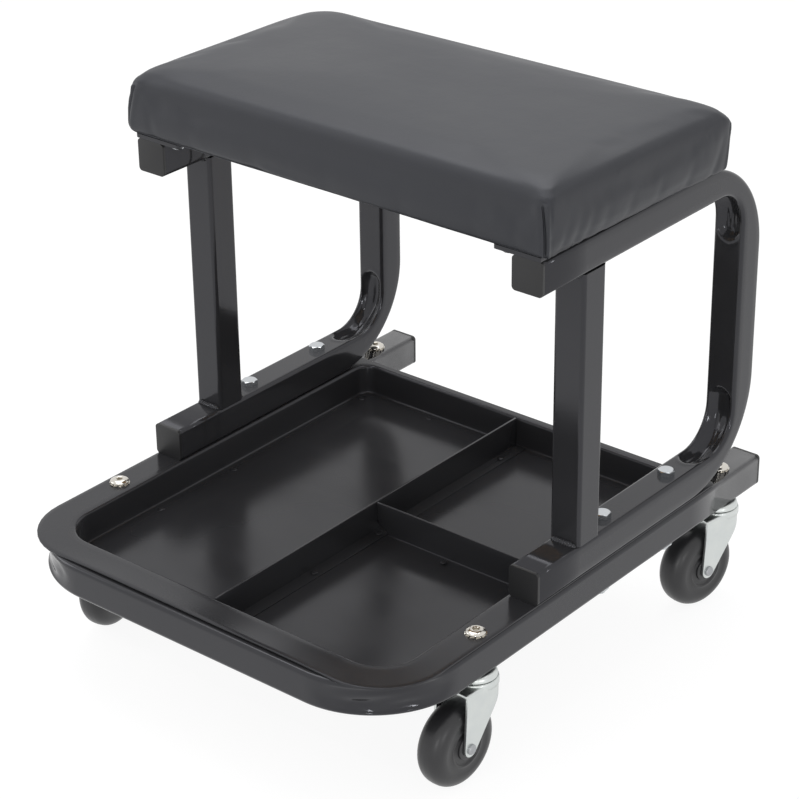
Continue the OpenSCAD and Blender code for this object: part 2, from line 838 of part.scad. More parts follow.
// Rounded rectangle about the origin
module rounded_plate(x, y, r) {
  square([2 * (x - r), 2 * y], center = true);
  square([2 * x, 2 * (y - r)], center = true);
  for (i = side_signs)
    for (j = side_signs)
      translate([i * (x - r), j * (y - r)]) circle(r);
}

// Screw places: the front edge's distance, mirrored to the rear edge
front_screw_y = side_front_y + seat_screw_at;
rear_screw_y = rear_plate_y + plate_len - seat_screw_at;

module seat_plate(side, low_y, screw_y) {
  color("#2b2b2d") scale_x(side) difference() {
    translate([plate_out_x - plate_w / 2, low_y + plate_len / 2, side_top_z])
      linear_extrude(plate_t) rounded_plate(plate_w / 2, plate_len / 2, plate_corner_r);
    translate([seat_screw_x, screw_y, side_top_z - over])
      cylinder(h = plate_t + 2 * over, r = seat_screw_r + seat_screw_hole_gap);
  }
}

module front_seat_plate(side) {
  seat_plate(side, side_front_y, front_screw_y);
}

module rear_seat_plate(side) {
  seat_plate(side, rear_plate_y, rear_screw_y);
}

// Upright cylinders at the four seat screws
module at_seat_screws(low_z, high_z, r) {
  for (side = side_signs)
    for (y = [front_screw_y, rear_screw_y])
      translate([side * seat_screw_x, y, low_z]) cylinder(h = high_z - low_z, r = r);
}

module seat_screws() {
  color("#8f9092") {
    at_seat_screws(side_top_z - seat_screw_head_h, side_top_z, seat_screw_head_r);
    at_seat_screws(side_top_z, board_top_z - seat_screw_tip, seat_screw_r);
  }
}

module seat_board() {
  color("#c9a06a") difference() {
    translate([0, seat_mid_y, board_z]) linear_extrude(board_t)
      rounded_plate(seat_a - board_inset, seat_b - board_inset, board_corner_r);
    at_seat_screws(board_z - over, board_top_z - seat_screw_tip, seat_screw_r);
  }
}

// One side of the cushion's outline from corner to corner, bowed inwards
function bowed_side(from, to, inward, shares) = [
  for (s = shares) from + s * (to - from) + seat_bow * sin(180 * s) * inward
];

// One rounded corner of the cushion's outline
function round_corner(mid, r, start) = [
  for (a = corner_angles) mid + r * [cos(start + a), sin(start + a)]
];

// The cushion's outline, drawn in by inset, anticlockwise from its right side
function seat_outline(inset) =
  let (a = seat_a - inset, b = seat_b - inset, r = max(seat_corner_r - inset, seat_corner_r / 4))
  let (x = a - r, y = b - r)
  concat(
    bowed_side([a, -y], [a, y], [-1, 0], short_side_shares), round_corner([x, y], r, 0),
    bowed_side([x, b], [-x, b], [0, -1], long_side_shares), round_corner([-x, y], r, 90),
    bowed_side([-a, y], [-a, -y], [1, 0], short_side_shares), round_corner([-x, -y], r, 180),
    bowed_side([-x, -b], [x, -b], [0, 1], long_side_shares), round_corner([x, -y], r, 270)
  );

// One ring of the cushion at height z
function seat_ring(inset, z) = [
  for (p = seat_outline(inset)) [p[0], p[1] + seat_mid_y, z]
];

// Rise of the crown at a point of the top: none at the edges, most in the middle
function crown_rise(x, y) =
  seat_crown * (1 - pow(x / seat_a, 4)) * (1 - pow(y / seat_b, 2));

// One ring of the crown, scaled towards the middle by share
function crown_ring(inset, z, share) = [
  for (p = seat_outline(inset))
    [share * p[0], share * p[1] + seat_mid_y, z + crown_rise(share * p[0], share * p[1])]
];

// Closed form of the cushion, drawn in by g on every face: tucked in at the bottom,
// rounded at the top edge and crowned over the middle
module seat_form(g) {
  low_z = seat_z + g;
  edge_r = seat_edge_r - g;
  edge_end = form_edge_angles[len(form_edge_angles) - 1];
  rim_inset = seat_edge_r - edge_r * cos(edge_end);
  rim_z = arc_z + edge_r * sin(edge_end);
  rings = concat(
    [for (s = form_side_shares) seat_ring(g + seat_tuck * (1 - s) * (1 - s), low_z + s * (arc_z - low_z))],
    [for (a = form_edge_angles) seat_ring(seat_edge_r - edge_r * cos(a), arc_z + edge_r * sin(a))],
    [for (s = form_crown_shares) crown_ring(rim_inset, rim_z, s)]
  );
  n = len(rings[0]);
  last = len(rings) - 1;
  low_mid = n * len(rings);
  top_mid = low_mid + 1;
  points = concat(
    [for (r = rings) for (p = r) p],
    [[0, seat_mid_y, low_z], [0, seat_mid_y, rim_z + seat_crown]]
  );
  sides = [
    for (k = [0 : last - 1]) for (j = [0 : n - 1])
      let (i = (j + 1) % n, low = k * n, up = low + n)
      each [[low + j, up + j, up + i], [low + j, up + i, low + i]]
  ];
  ends = [
    for (j = [0 : n - 1])
      let (i = (j + 1) % n)
      each [[low_mid, j, i], [top_mid, last * n + i, last * n + j]]
  ];
  polyhedron(points = points, faces = concat(sides, ends), convexity = 4);
}

module seat_foam() {
  color("#c9c4b4") intersection() {
    seat_form(cover_t + cover_gap);
    translate([-seat_a, seat_front_y, board_top_z])
      cube([seat_w, cushion_depth, seat_side_h + seat_crown]);
  }
}

module seat_cover() {
  color("#3f4042") difference() {
    seat_form(0);
    seat_form(cover_t);
    translate([-seat_a + hem_w, seat_front_y + hem_w, seat_z - over])
      cube([seat_w - 2 * hem_w, cushion_depth - 2 * hem_w, cover_t + 2 * over]);
    at_seat_screws(seat_z - over, board_z + over, seat_screw_r + seat_screw_hole_gap);
  }
}

// Staple driven up through the hem, its crown along X
module staple() {
  translate([-staple_w / 2, -staple_wire / 2, -staple_wire])
    cube([staple_w, staple_wire, staple_wire]);
  for (x = [-staple_w / 2, staple_w / 2 - staple_wire])
    translate([x, -staple_wire / 2, 0]) cube([staple_wire, staple_wire, staple_leg]);
}

module cover_staples() {
  hem_x = seat_a - hem_w / 2;
  hem_y = seat_b - hem_w / 2;
  color("#b0b2b4") translate([0, seat_mid_y, seat_z])
    for (side = side_signs) {
      for (share = long_staple_shares)
        translate([share * seat_a, side * hem_y, 0]) staple();
      for (share = short_staple_shares)
        translate([side * hem_x, share * seat_b, 0]) rotate([0, 0, 90]) staple();
    }
}

base_frame();
base_end_plugs();
tray_pan();
long_divider();
cross_divider();
tray_tack_welds();
side_frame(-1);  // left_side_frame
side_frame(1);  // right_side_frame
post(-1);  // left_post
post(1);  // right_post
side_frame_caps();
frame_weld_beads();
frame_bolts();
frame_washers();
frame_nuts();
caster_barrel_nuts();
caster_tooth_washers();
front_seat_plate(-1);  // front_left_seat_plate
front_seat_plate(1);  // front_right_seat_plate
rear_seat_plate(-1);  // rear_left_seat_plate
rear_seat_plate(1);  // rear_right_seat_plate
seat_board();
seat_foam();
seat_cover();
seat_screws();
cover_staples();
for (c = CASTERS) {
  at_caster(c) caster_stem();
  at_caster(c) caster_race();
  at_caster(c) caster_balls();
  at_caster(c) caster_thrust_washer();
  at_caster(c) caster_fork();
  at_caster(c) caster_axle();
  at_caster(c) caster_sleeve();
  at_caster(c) caster_wheel();
}
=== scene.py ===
import math

import bmesh
import bpy
import numpy as np
from mathutils import Matrix, Vector


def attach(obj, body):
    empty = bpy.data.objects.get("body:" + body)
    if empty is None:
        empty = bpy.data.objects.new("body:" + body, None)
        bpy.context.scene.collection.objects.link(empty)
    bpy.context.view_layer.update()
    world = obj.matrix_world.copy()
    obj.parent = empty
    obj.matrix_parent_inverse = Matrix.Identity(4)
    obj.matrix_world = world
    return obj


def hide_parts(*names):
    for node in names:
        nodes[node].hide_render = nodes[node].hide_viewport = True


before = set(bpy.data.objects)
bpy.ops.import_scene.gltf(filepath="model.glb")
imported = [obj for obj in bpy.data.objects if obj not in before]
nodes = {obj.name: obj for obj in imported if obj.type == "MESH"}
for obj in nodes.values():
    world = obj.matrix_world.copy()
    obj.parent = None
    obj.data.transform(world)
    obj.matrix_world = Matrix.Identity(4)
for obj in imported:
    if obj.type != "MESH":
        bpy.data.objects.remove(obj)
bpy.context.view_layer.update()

MM = 0.001

# Camera and studio. A pale seamless floor, a wide soft box overhead, smaller lamps from
# the left front and the right, and white surroundings that the black coat mirrors. The
# camera stands where the photographer stood.
scene = bpy.context.scene
scene.view_settings.view_transform = "Standard"


def tone(code, alpha=1.0):
    """An sRGB hex colour as the linear values that Blender's sockets take."""
    parts = [int(code[i:i + 2], 16) / 255 for i in (1, 3, 5)]
    return [p / 12.92 if p <= 0.04045 else ((p + 0.055) / 1.055) ** 2.4 for p in parts] + [alpha]


def add(tree, kind, inputs={}, **settings):
    """Adds a node with its settings. An input takes a value, an output or a node's first output."""
    made = tree.nodes.new(kind)
    for name, value in settings.items():
        setattr(made, name, value)
    for name, value in inputs.items():
        if isinstance(value, bpy.types.Node):
            value = value.outputs[0]
        if isinstance(value, bpy.types.NodeSocket):
            tree.links.new(value, made.inputs[name])
        else:
            made.inputs[name].default_value = value
    return made


camera = bpy.data.objects.new("camera", bpy.data.cameras.new("camera"))
scene.collection.objects.link(camera)
scene.camera = camera
camera.data.sensor_width = 36
camera.data.lens = 113.73
azimuth, pitch, roll = 0.695, 0.472, -0.013
level = Vector((math.cos(azimuth), math.sin(azimuth), 0))
ahead = Vector((-level.y * math.cos(pitch), level.x * math.cos(pitch), -math.sin(pitch)))
rise = level.cross(ahead)
right = level * math.cos(roll) + rise * math.sin(roll)
up = rise * math.cos(roll) - level * math.sin(roll)
turn = Matrix((right, up, -ahead)).transposed().to_4x4()
camera.matrix_world = Matrix.Translation((1.0680, -1.2696, 1.0347)) @ turn
camera.data.clip_start, camera.data.clip_end = 0.1, 60


def to_eye(tree):
    """1 for rays from the camera, a mirror or through glass, and 0 for the rest."""
    rays = add(tree, "ShaderNodeLightPath")
    seen = rays.outputs["Is Camera Ray"]
    for name in ("Is Glossy Ray", "Is Transmission Ray"):
        seen = add(tree, "ShaderNodeMath", {0: seen, 1: rays.outputs[name]}, operation="MAXIMUM")
    return seen


world = bpy.data.worlds.new("studio")
scene.world = world
world.use_nodes = True
world.node_tree.nodes.clear()
tree = world.node_tree
strength = add(tree, "ShaderNodeMapRange", {"Value": to_eye(tree), "To Min": 0.62, "To Max": 1.0})
sky = add(tree, "ShaderNodeBackground", {"Color": tone("#ffffff"), "Strength": strength})
add(tree, "ShaderNodeOutputWorld", {"Surface": sky})

for name, place, aim, size, power in (
    ("soft_box_above", (-0.35, 0.25, 1.75), (0, 0, 0.2), (1.5, 1.2), 15),
    ("soft_box_left", (-1.9, -0.9, 1.15), (0, 0, 0.2), (0.7, 1.3), 7),
    ("soft_box_right", (1.3, -1.9, 0.5), (0, 0, 0.15), (0.18, 0.5), 4.0),
    ("small_box_right", (2.3, -0.9, 0.5), (0, 0, 0.15), (0.14, 0.35), 3.6),
    ("strip_lamp", (0.1, -1.7, 1.9), (0, 0, 0.2), (0.4, 0.04), 2.4),
):
    lamp = bpy.data.lights.new(name, "AREA")
    lamp.shape, lamp.size, lamp.size_y, lamp.energy = "RECTANGLE", *size, power
    box = bpy.data.objects.new(name, lamp)
    scene.collection.objects.link(box)
    box.location = place
    box.rotation_euler = (Vector(aim) - Vector(place)).to_track_quat("-Z", "Y").to_euler()


def material(name, colour, rough, metal=0.0, **sockets):
    """A material and its Principled shader, for the section to finish."""
    made = bpy.data.materials.new(name)
    made.use_nodes = True
    made.node_tree.nodes.clear()
    values = {"Base Color": tone(colour), "Roughness": rough, "Metallic": metal}
    values.update({key.replace("_", " "): value for key, value in sockets.items()})
    shader = add(made.node_tree, "ShaderNodeBsdfPrincipled", values)
    add(made.node_tree, "ShaderNodeOutputMaterial", {"Surface": shader})
    return made, shader


# The floor: painted cove, matt and nearly white. It glows only to the camera and in
# reflections, so that its edge is lost in the backdrop while the shadow stays.
paint, shader = material("matt_cove_paint", "#f2f2f0", 0.9)
tree = shader.id_data
dim = add(tree, "ShaderNodeBsdfDiffuse", {"Color": tone("#6a6a6a")})
glow = add(tree, "ShaderNodeEmission", {"Color": tone("#ffffff"), "Strength": 0.915})
lit = add(tree, "ShaderNodeAddShader", {0: dim, 1: glow})
both = add(tree, "ShaderNodeMixShader", {0: to_eye(tree), 1: shader, 2: lit})
tree.links.new(both.outputs[0], tree.nodes["Material Output"].inputs["Surface"])


def piece(name, verts, faces, finish):
    """A smooth mesh object at the origin, from points in millimetres, faces and a material."""
    mesh = bpy.data.meshes.new(name)
    points = [tuple(float(c) * MM for c in v) for v in verts]
    mesh.from_pydata(points, [], [tuple(map(int, f)) for f in faces])
    mesh.materials.append(finish)
    mesh.shade_smooth()
    made = bpy.data.objects.new(name, mesh)
    scene.collection.objects.link(made)
    return made


span = 9000
floor = piece("studio_floor", [(-span, -span, 0), (span, -span, 0), (span, span, 0), (-span, span, 0)],
              [(0, 1, 2, 3)], paint)


# Base frame: one 25 mm square steel tube bent to a U in a press, which pushes the
# tube's inner wall into each bend and dents the outer one. Coated after bending.
def noise(shader, scale, detail, distortion=0.0, stretch=None, turn=0.0):
    """A noise texture on Object coordinates, which may be turned and stretched first."""
    tree = shader.id_data
    spot = add(tree, "ShaderNodeTexCoord").outputs["Object"]
    if stretch:
        spot = add(tree, "ShaderNodeMapping", {"Vector": spot, "Rotation": (0, 0, turn), "Scale": stretch})
    inputs = {"Vector": spot, "Scale": scale, "Detail": detail, "Distortion": distortion}
    return add(tree, "ShaderNodeTexNoise", inputs)


def dull(shader, texture, low, high, start=0.0, stop=1.0):
    """Lets a texture move the roughness from low to high."""
    inputs = {"Value": texture, "From Min": start, "From Max": stop, "To Min": low, "To Max": high}
    span = add(shader.id_data, "ShaderNodeMapRange", inputs)
    shader.id_data.links.new(span.outputs[0], shader.inputs["Roughness"])


def shade(shader, texture, dark, light):
    """Lets a texture move the colour from dark to light."""
    inputs = {"Factor": texture, "A": tone(dark), "B": tone(light)}
    mix = add(shader.id_data, "ShaderNodeMix", inputs, data_type="RGBA")
    shader.id_data.links.new(mix.outputs["Result"], shader.inputs["Base Color"])
    return mix.outputs["Result"]


def bump(shader, texture, strength, distance, **more):
    """Lets a texture tilt the surface."""
    inputs = {"Height": texture, "Strength": strength, "Distance": distance, **more}
    tilt = add(shader.id_data, "ShaderNodeBump", inputs)
    shader.id_data.links.new(tilt.outputs[0], shader.inputs["Normal"])
    return tilt


# Gloss black powder coat: the eye sees its mirror of the white room, slightly
# broken by orange peel about 2 mm across, in patches of two near blacks.
powder, shader = material("gloss_black_powder_coat", "#2e2e30", 0.2, Specular_IOR_Level=0.4,
                          Specular_Tint=tone("#f0f1fa"))
broad = noise(shader, 24, 3)
dull(shader, broad, 0.07, 0.15, 0.3, 0.7)
shade(shader, broad, "#2c2c2e", "#303032")
bump(shader, noise(shader, 420, 2), 0.05, 0.0004)

TUBE, WALL, CORNER, PRESSED = 25.4, 1.6, 3.0, 30.0


def ease(t):
    """A smooth step from 0 to 1."""
    t = np.clip(t, 0, 1)
    return t * t * (3 - 2 * t)


def hump(t, width):
    """A smooth hill of height 1 at t = 0."""
    return np.exp(-(t / width) ** 2)


def facet(t, low):
    """A dent across the wall: a straight slope from low upwards, then a slow return."""
    return np.clip((t - low) / 0.44, 0, 1) * (1 - ease((t - low - 0.46) / 0.4))


def tube_section():
    """Points of the square section as (a, b, v): they lie at a + b * width from the outer
    wall and at height v. Also how far each is on the outer (1) or the inner wall (-1)."""
    r, h, near = CORNER, TUBE, 0.35
    arc, quarters = np.radians(np.linspace(0, 90, 5)), np.array((0.25, 0.5, 0.75))
    rows = [(0, 0, v, 1) for v in np.linspace(r + near, h - r - near, 15)]
    rows += [(r - r * math.cos(t), 0, h - r + r * math.sin(t), 0) for t in arc]
    rows += [(r * (1 - 2 * f), f, h, 0) for f in quarters]
    rows += [(-r + r * math.cos(t), 1, h - r + r * math.sin(t), 0) for t in arc[::-1]]
    rows += [(0, 1, v, -1) for v in np.linspace(h - r - near, r + near, 37)]
    rows += [(-r + r * math.cos(t), 1, r - r * math.sin(t), 0) for t in arc]
    rows += [(r * (1 - 2 * f), f, 0, 0) for f in quarters[::-1]]
    rows += [(r - r * math.cos(t), 0, r - r * math.sin(t), 0) for t in arc[::-1]]
    return np.array(rows)


def pressed(s, across, scoop, dent):
    """How far the press moves the inner and the outer wall at a share s of the bend."""
    mid = 1 - np.clip(np.abs(across) / 0.8, 0, 1) ** 2.5
    end = 0.5 - abs(s - 0.5)
    edge = ease((end - 0.07 - 0.12 * across ** 2) / 0.09)
    rim = hump(end - 0.08 - 0.11 * across ** 2, 0.035)
    folds = 0.6 * np.sin(across * 7 + 5 * s) + 0.45 * np.sin(across * 4 - 13 * s) + 0.3 * np.sin(23 * s)
    creases = np.sin(across * 17 + 6 * s) * (0.6 + 0.4 * np.sin(29 * s + across * 3))
    folds = folds + 0.28 * creases * ease((0.75 - s) / 0.4)
    inner = 0.5 * rim * mid - edge * mid * (scoop + 0.8 * folds)
    pits = hump(s - 0.4, 0.13) * (0.7 * facet(across, 0.1) + facet(across, -0.85))
    pits = pits + hump(s - 0.64, 0.1) * facet(across, -0.75)
    lines = 0.3 * np.sin(across * 8 + 3 * s) * hump(s - 0.5, 0.2) * mid
    return inner, dent * (0.85 * pits + lines + 0.4 * edge * mid)


def lattice(n, k, closed=True, flip=False):
    """Faces between n rows of k points. A closed row meets its own start."""
    faces = [(i * k + j, i * k + (j + 1) % k, (i + 1) * k + (j + 1) % k, (i + 1) * k + j)
             for i in range(n - 1) for j in range(k if closed else k - 1)]
    return [(a, d, c, b) for a, b, c, d in faces] if flip else faces


def sheet(made, thickness):
    """Gives a skin its wall, on the inner side."""
    wall = made.modifiers.new("sheet", "SOLIDIFY")
    wall.thickness, wall.offset = thickness * MM, -1


def bent_tube(name, path, bend_r, place, scoop, dent, steps=44):
    """Square tube whose outer wall follows a path in a plane, pressed in at the bends.
    place turns (p, q, v) into a point of the model."""
    section = tube_section()
    a, b, v, wall = section.T
    across = v / TUBE * 2 - 1
    path = [np.array(point, float) for point in path]
    ways = [(q - p) / np.linalg.norm(q - p) for p, q in zip(path, path[1:])]
    spin = 1 if ways[0][0] * ways[1][1] - ways[0][1] * ways[1][0] > 0 else -1
    stub = bend_r - TUBE - PRESSED
    stations, at = [], path[0]
    for i, way in enumerate(ways):
        inward, last = spin * np.array((-way[1], way[0])), i + 1 == len(ways)
        stop = path[i + 1] - (0 if last else bend_r * way)
        stations += [(at + s * (stop - at), inward, TUBE, -1.0) for s in np.linspace(0, 1, 5)]
        if last:
            break
        centre = stop + bend_r * inward
        for s in np.linspace(0, 1, steps + 1)[1:-1]:
            t = s * math.pi / 2
            out = way * math.sin(t) - inward * math.cos(t)
            near = min(t, math.pi / 2 - t)
            if math.tan(near) * (bend_r - TUBE) <= stub:
                rho = (bend_r - TUBE) / math.cos(near)
            else:
                along = stub * (math.cos(t) + math.sin(t))
                rho = along + math.sqrt(along * along - 2 * stub * stub + PRESSED * PRESSED)
            stations.append((centre + bend_r * out, -out, bend_r - rho, s))
        at = centre + bend_r * way
    verts = []
    for outer, inward, width, s in stations:
        depth = a + b * width
        if s >= 0:
            scooped, dented = pressed(s, across, scoop, dent)
            depth = depth + np.where(wall < 0, scooped, 0) + np.where(wall > 0, dented, 0)
        points = outer[None] + depth[:, None] * inward[None]
        verts += [place(p, q, h) for (p, q), h in zip(points, v)]
    made = piece(name, verts, lattice(len(stations), len(section)), powder)
    form = bmesh.new()
    form.from_mesh(made.data)
    bmesh.ops.recalc_face_normals(form, faces=form.faces)
    form.to_mesh(made.data)
    form.free()
    sheet(made, WALL)
    return made


def mount(made, body, slot, *replaced):
    """Rides a finished piece on a body, in place of CAD nodes. The slot is not used."""
    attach(made, body)
    if replaced:
        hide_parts(*replaced)


BASE_X, BASE_FRONT, BASE_REAR, BASE_LOW = 184, -224, 221.5, 82.5
base_path = [(BASE_X, BASE_REAR), (BASE_X, BASE_FRONT), (-BASE_X, BASE_FRONT), (-BASE_X, BASE_REAR)]
base_tube = bent_tube("base_tube", base_path, 76, lambda p, q, v: (p, q, BASE_LOW + v), 3.0, 2.6)
mount(base_tube, "frame", "powder_coat", "base_frame")

# Rear end plugs: black polyethylene mouldings pushed into the rails' open ends.
# Dull moulded plastic, a little greyer than the coat and without its mirror.
plug_plastic, shader = material("moulded_black_polyethylene", "#252526", 0.42, Specular_IOR_Level=0.4)
bump(shader, noise(shader, 900, 2), 0.12, 0.0002)


def soften(made, width, segments, limit=50):
    """Rounds a piece's edges that are sharper than limit degrees."""
    edges = made.modifiers.new("edges", "BEVEL")
    edges.width, edges.segments, edges.limit_method = width * MM, segments, "ANGLE"
    edges.angle_limit = math.radians(limit)
    return edges


def eased_copy(node, name, finish, width, segments=2):
    """A copy of a CAD node, merged, with its sharp edges rounded."""
    form = bmesh.new()
    form.from_mesh(nodes[node].data)
    bmesh.ops.remove_doubles(form, verts=form.verts, dist=2e-6)
    bmesh.ops.dissolve_limit(form, angle_limit=math.radians(0.5), verts=form.verts, edges=form.edges)
    made = piece(name, [], [], finish)
    form.to_mesh(made.data)
    form.free()
    made.data.shade_smooth()
    soften(made, width, segments, 32).harden_normals = True
    return made


plugs = eased_copy("base_end_plugs", "rail_end_plugs", plug_plastic, 0.7)
mount(plugs, "frame", "cap_plastic", "base_end_plugs")

# Tool tray: one pan pressed from 1.5 mm steel sheet; its flange lies on the base frame.
# Black stoving enamel: a softer mirror than the frame's coat, with the sheet's slow
# waves some 60 mm long and faintly duller rubbed patches.
enamel, shader = material("black_stoving_enamel", "#2c2c2e", 0.3, Specular_IOR_Level=0.35,
                          Specular_Tint=tone("#f0f1fa"))
cloud = noise(shader, 16, 1)
rubs = noise(shader, 1, 2, 0.6, (12, 30, 20), 0.5)
both = add(shader.id_data, "ShaderNodeMath", {0: cloud, 1: rubs}, operation="ADD")
dull(shader, both, 0.15, 0.25, 0.7, 1.3)
bump(shader, cloud, 0.1, 0.0015)

FLANGE_Z, FLOOR_Z, SHEET, LIP_R, FOOT_R = 109.4, 84.8, 1.5, 2.4, 1.6
TRAY_X, TRAY_FRONT, TRAY_REAR = 156.8, -193, 155.6


def chained(arcs, between):
    """The arcs of an outline in one row, with points along the straights between them."""
    row, gap = [], np.linspace(0, 1, between + 2)[1:-1, None]
    for arc, after in zip(arcs, arcs[1:] + arcs[:1]):
        row += [arc, arc[-1] + gap * (after[0] - arc[-1])]
    return np.concatenate(row)


def corner_arc(x, y, r, begin, steps):
    """A quarter turn from the angle begin, round a middle."""
    t = np.radians(np.linspace(begin, begin + 90, steps + 1))
    return np.column_stack((x + r * np.cos(t), y + r * np.sin(t)))


def rounded(x, front, rear, front_r, rear_r):
    """Outline of the pan at one level, anticlockwise, with the same count of points at any size."""
    return chained([corner_arc(x - rear_r, rear - rear_r, rear_r, 0, 10),
                    corner_arc(-x + rear_r, rear - rear_r, rear_r, 90, 10),
                    corner_arc(-x + front_r, front + front_r, front_r, 180, 10),
                    corner_arc(x - front_r, front + front_r, front_r, 270, 10)], 14)


def opening(d):
    """Outline of the pan's wall, drawn in by d."""
    return rounded(TRAY_X - d, TRAY_FRONT + d, TRAY_REAR - d, 30 - d, 12 - d)


def raised(outline, z):
    """An outline's points at a height, which may differ from point to point."""
    return np.column_stack((outline, np.broadcast_to(z, len(outline))))


rings = []
rim = rounded(182.8, -219.4, 163.2, 50, 4)
for share in (0, 0.15, 0.5, 0.85):
    flat = rim + share * (opening(-3) - rim)
    x, y = flat.T
    wave = 0.12 * np.sin(x / 21 + 1) * np.sin(y / 27) * math.sin(math.pi * share)
    proud = (1 - share) ** 2 * ease((140 - np.abs(x)) / 60) * ease((-150 - y) / 30)
    rings.append(raised(flat, FLANGE_Z + proud + wave))
quarter = np.radians(np.linspace(0, 90, 6))
for t in quarter:
    rings.append(raised(opening(-LIP_R + LIP_R * math.sin(t)), FLANGE_Z - LIP_R + LIP_R * math.cos(t)))
for z in (102, 96, 91):
    side = opening(0)
    bow = 0.25 * np.sin(side[:, 1] / 33 + side[:, 0] / 40)
    rings.append(raised(side * (1 - bow[:, None] / 160), z))
for t in quarter:
    rings.append(raised(opening(FOOT_R - FOOT_R * math.cos(t)), FLOOR_Z + FOOT_R - FOOT_R * math.sin(t)))
for share in (0.96, 0.9, 0.82, 0.72, 0.62, 0.52, 0.42, 0.32, 0.22, 0.12, 0.03):
    flat = opening(FOOT_R) * share + np.array((0, (TRAY_FRONT + TRAY_REAR) / 2)) * (1 - share)
    x, y = flat.T
    wave = 0.3 * np.sin(x / 19 + 0.8 * np.sin(y / 37)) + 0.22 * np.sin(y / 23 - x / 51)
    wave += 0.2 * np.sin((x + y) / 13) * np.sin(y / 70)
    rings.append(raised(flat, FLOOR_Z + 0.35 * wave * min(1, (1 - share) * 8)))
k = len(rim)
floor_face = tuple(range((len(rings) - 1) * k, len(rings) * k))
pan = piece("tray_pressing", np.concatenate(rings), lattice(len(rings), k) + [floor_face], enamel)
sheet(pan, SHEET)
soften(pan, 0.4, 2)
mount(pan, "frame", "tray_enamel", "tray_pan")


# Dividers: two strips of the same sheet, each folded to an L and spot-welded by its
# foot to the tray's floor. The enamel runs over them and rounds their edges.
def divider(name, lengths, place):
    """Folded strip. lengths gives its run at a height, and place turns (run, off, z) into a point."""
    fold = [(0.2 + math.cos(t), 85.75 + math.sin(t)) for t in math.pi + quarter]
    profile = [(-0.8, z) for z in (109.2, 104, 98, 92)] + fold + [(3, 84.3), (6, 84.2), (11, 84.1)]
    verts = []
    for s in np.linspace(0, 1, 25):
        for off, z in profile:
            low, high = lengths(z)
            sway = 0.3 * math.sin(5 * s + 1) * ease((z - 88) / 20)
            verts.append(place(low + s * (high - low), off + sway, z))
    made = piece(name, verts, lattice(25, len(profile), closed=False, flip=True), enamel)
    sheet(made, 1.6)
    soften(made, 0.6, 3)
    return made


def clear(z):
    """How far the foot radius of the tray's wall reaches in at a height."""
    drop = max(FLOOR_Z + FOOT_R - z, 0)
    return 0.15 + FOOT_R - math.sqrt(max(FOOT_R ** 2 - drop ** 2, 0))


CROSS_Y = -19
long_strip = divider("long_strip", lambda z: (TRAY_FRONT + clear(z), TRAY_REAR - clear(z)),
                     lambda s, off, z: (off, s, z))
mount(long_strip, "frame", "tray_enamel", "long_divider")
cross_strip = divider("cross_strip", lambda z: (TRAY_X - clear(z), 11.8 if z < 89 else 1.2),
                      lambda s, off, z: (s, CROSS_Y - off, z))
mount(cross_strip, "frame", "tray_enamel", "cross_divider")

# Tack welds: small flattened drops of weld metal at the feet of the walls and dividers,
# under the same enamel.


def rule(name, **sizes):
    """A Geometry Nodes tree with named sizes; returns it and its input sockets."""
    tree = bpy.data.node_groups.new(name, "GeometryNodeTree")
    tree.interface.new_socket("Geometry", in_out="INPUT", socket_type="NodeSocketGeometry")
    for key, value in sizes.items():
        kind = "NodeSocketInt" if isinstance(value, int) else "NodeSocketFloat"
        tree.interface.new_socket(key, in_out="INPUT", socket_type=kind).default_value = value
    tree.interface.new_socket("Geometry", in_out="OUTPUT", socket_type="NodeSocketGeometry")
    return tree, add(tree, "NodeGroupInput").outputs


def home(values):
    """The tree that the first node or socket among some values is in."""
    return next(v.id_data for v in values if isinstance(v, (bpy.types.Node, bpy.types.NodeSocket)))


def calc(kind, *values):
    """A Math node."""
    return add(home(values), "ShaderNodeMath", dict(enumerate(values)), operation=kind)


def vector(*values):
    """A vector of three values."""
    return add(home(values), "ShaderNodeCombineXYZ", dict(enumerate(values)))


def drawn(tree, low, high, seed):
    """A number or vector drawn at random for each point, the same on each run."""
    inputs = {"Min": low, "Max": high, "Seed": seed}
    kind = "FLOAT_VECTOR" if isinstance(low, tuple) else "FLOAT"
    return add(tree, "FunctionNodeRandomValue", inputs, data_type=kind).outputs["Value"]


def strewn(points, form, **more):
    """A form on each point."""
    inputs = {"Points": points, "Instance": form, **more}
    return add(form.id_data, "GeometryNodeInstanceOnPoints", inputs)


def end_rule(form, finish):
    """Closes a tree: instances made real, smooth faces and the material."""
    tree = form.id_data
    real = add(tree, "GeometryNodeRealizeInstances", {"Geometry": form})
    smooth = add(tree, "GeometryNodeSetShadeSmooth", {"Geometry": real})
    done = add(tree, "GeometryNodeSetMaterial", {"Geometry": smooth, "Material": finish})
    add(tree, "NodeGroupOutput", {"Geometry": done})


def settle(made):
    """Applies an object's modifiers and takes them off."""
    graph = bpy.context.evaluated_depsgraph_get()
    mesh = bpy.data.meshes.new_from_object(made.evaluated_get(graph), depsgraph=graph)
    made.modifiers.clear()
    made.data = mesh


def grown(name, tree, points, edges=(), sharp=None, **sizes):
    """A plain mesh that a tree makes on points in millimetres, with sizes by their names."""
    mesh = bpy.data.meshes.new(name)
    mesh.from_pydata([tuple(c * MM for c in p) for p in points], list(edges), [])
    made = bpy.data.objects.new(name, mesh)
    scene.collection.objects.link(made)
    growth = made.modifiers.new("rule", "NODES")
    growth.node_group = tree
    for item in tree.interface.items_tree:
        if item.item_type == "SOCKET" and item.in_out == "INPUT" and item.name in sizes:
            growth[item.identifier] = sizes[item.name]
    settle(made)
    if sharp:
        made.data.set_sharp_from_angle(angle=math.radians(sharp))
    return made


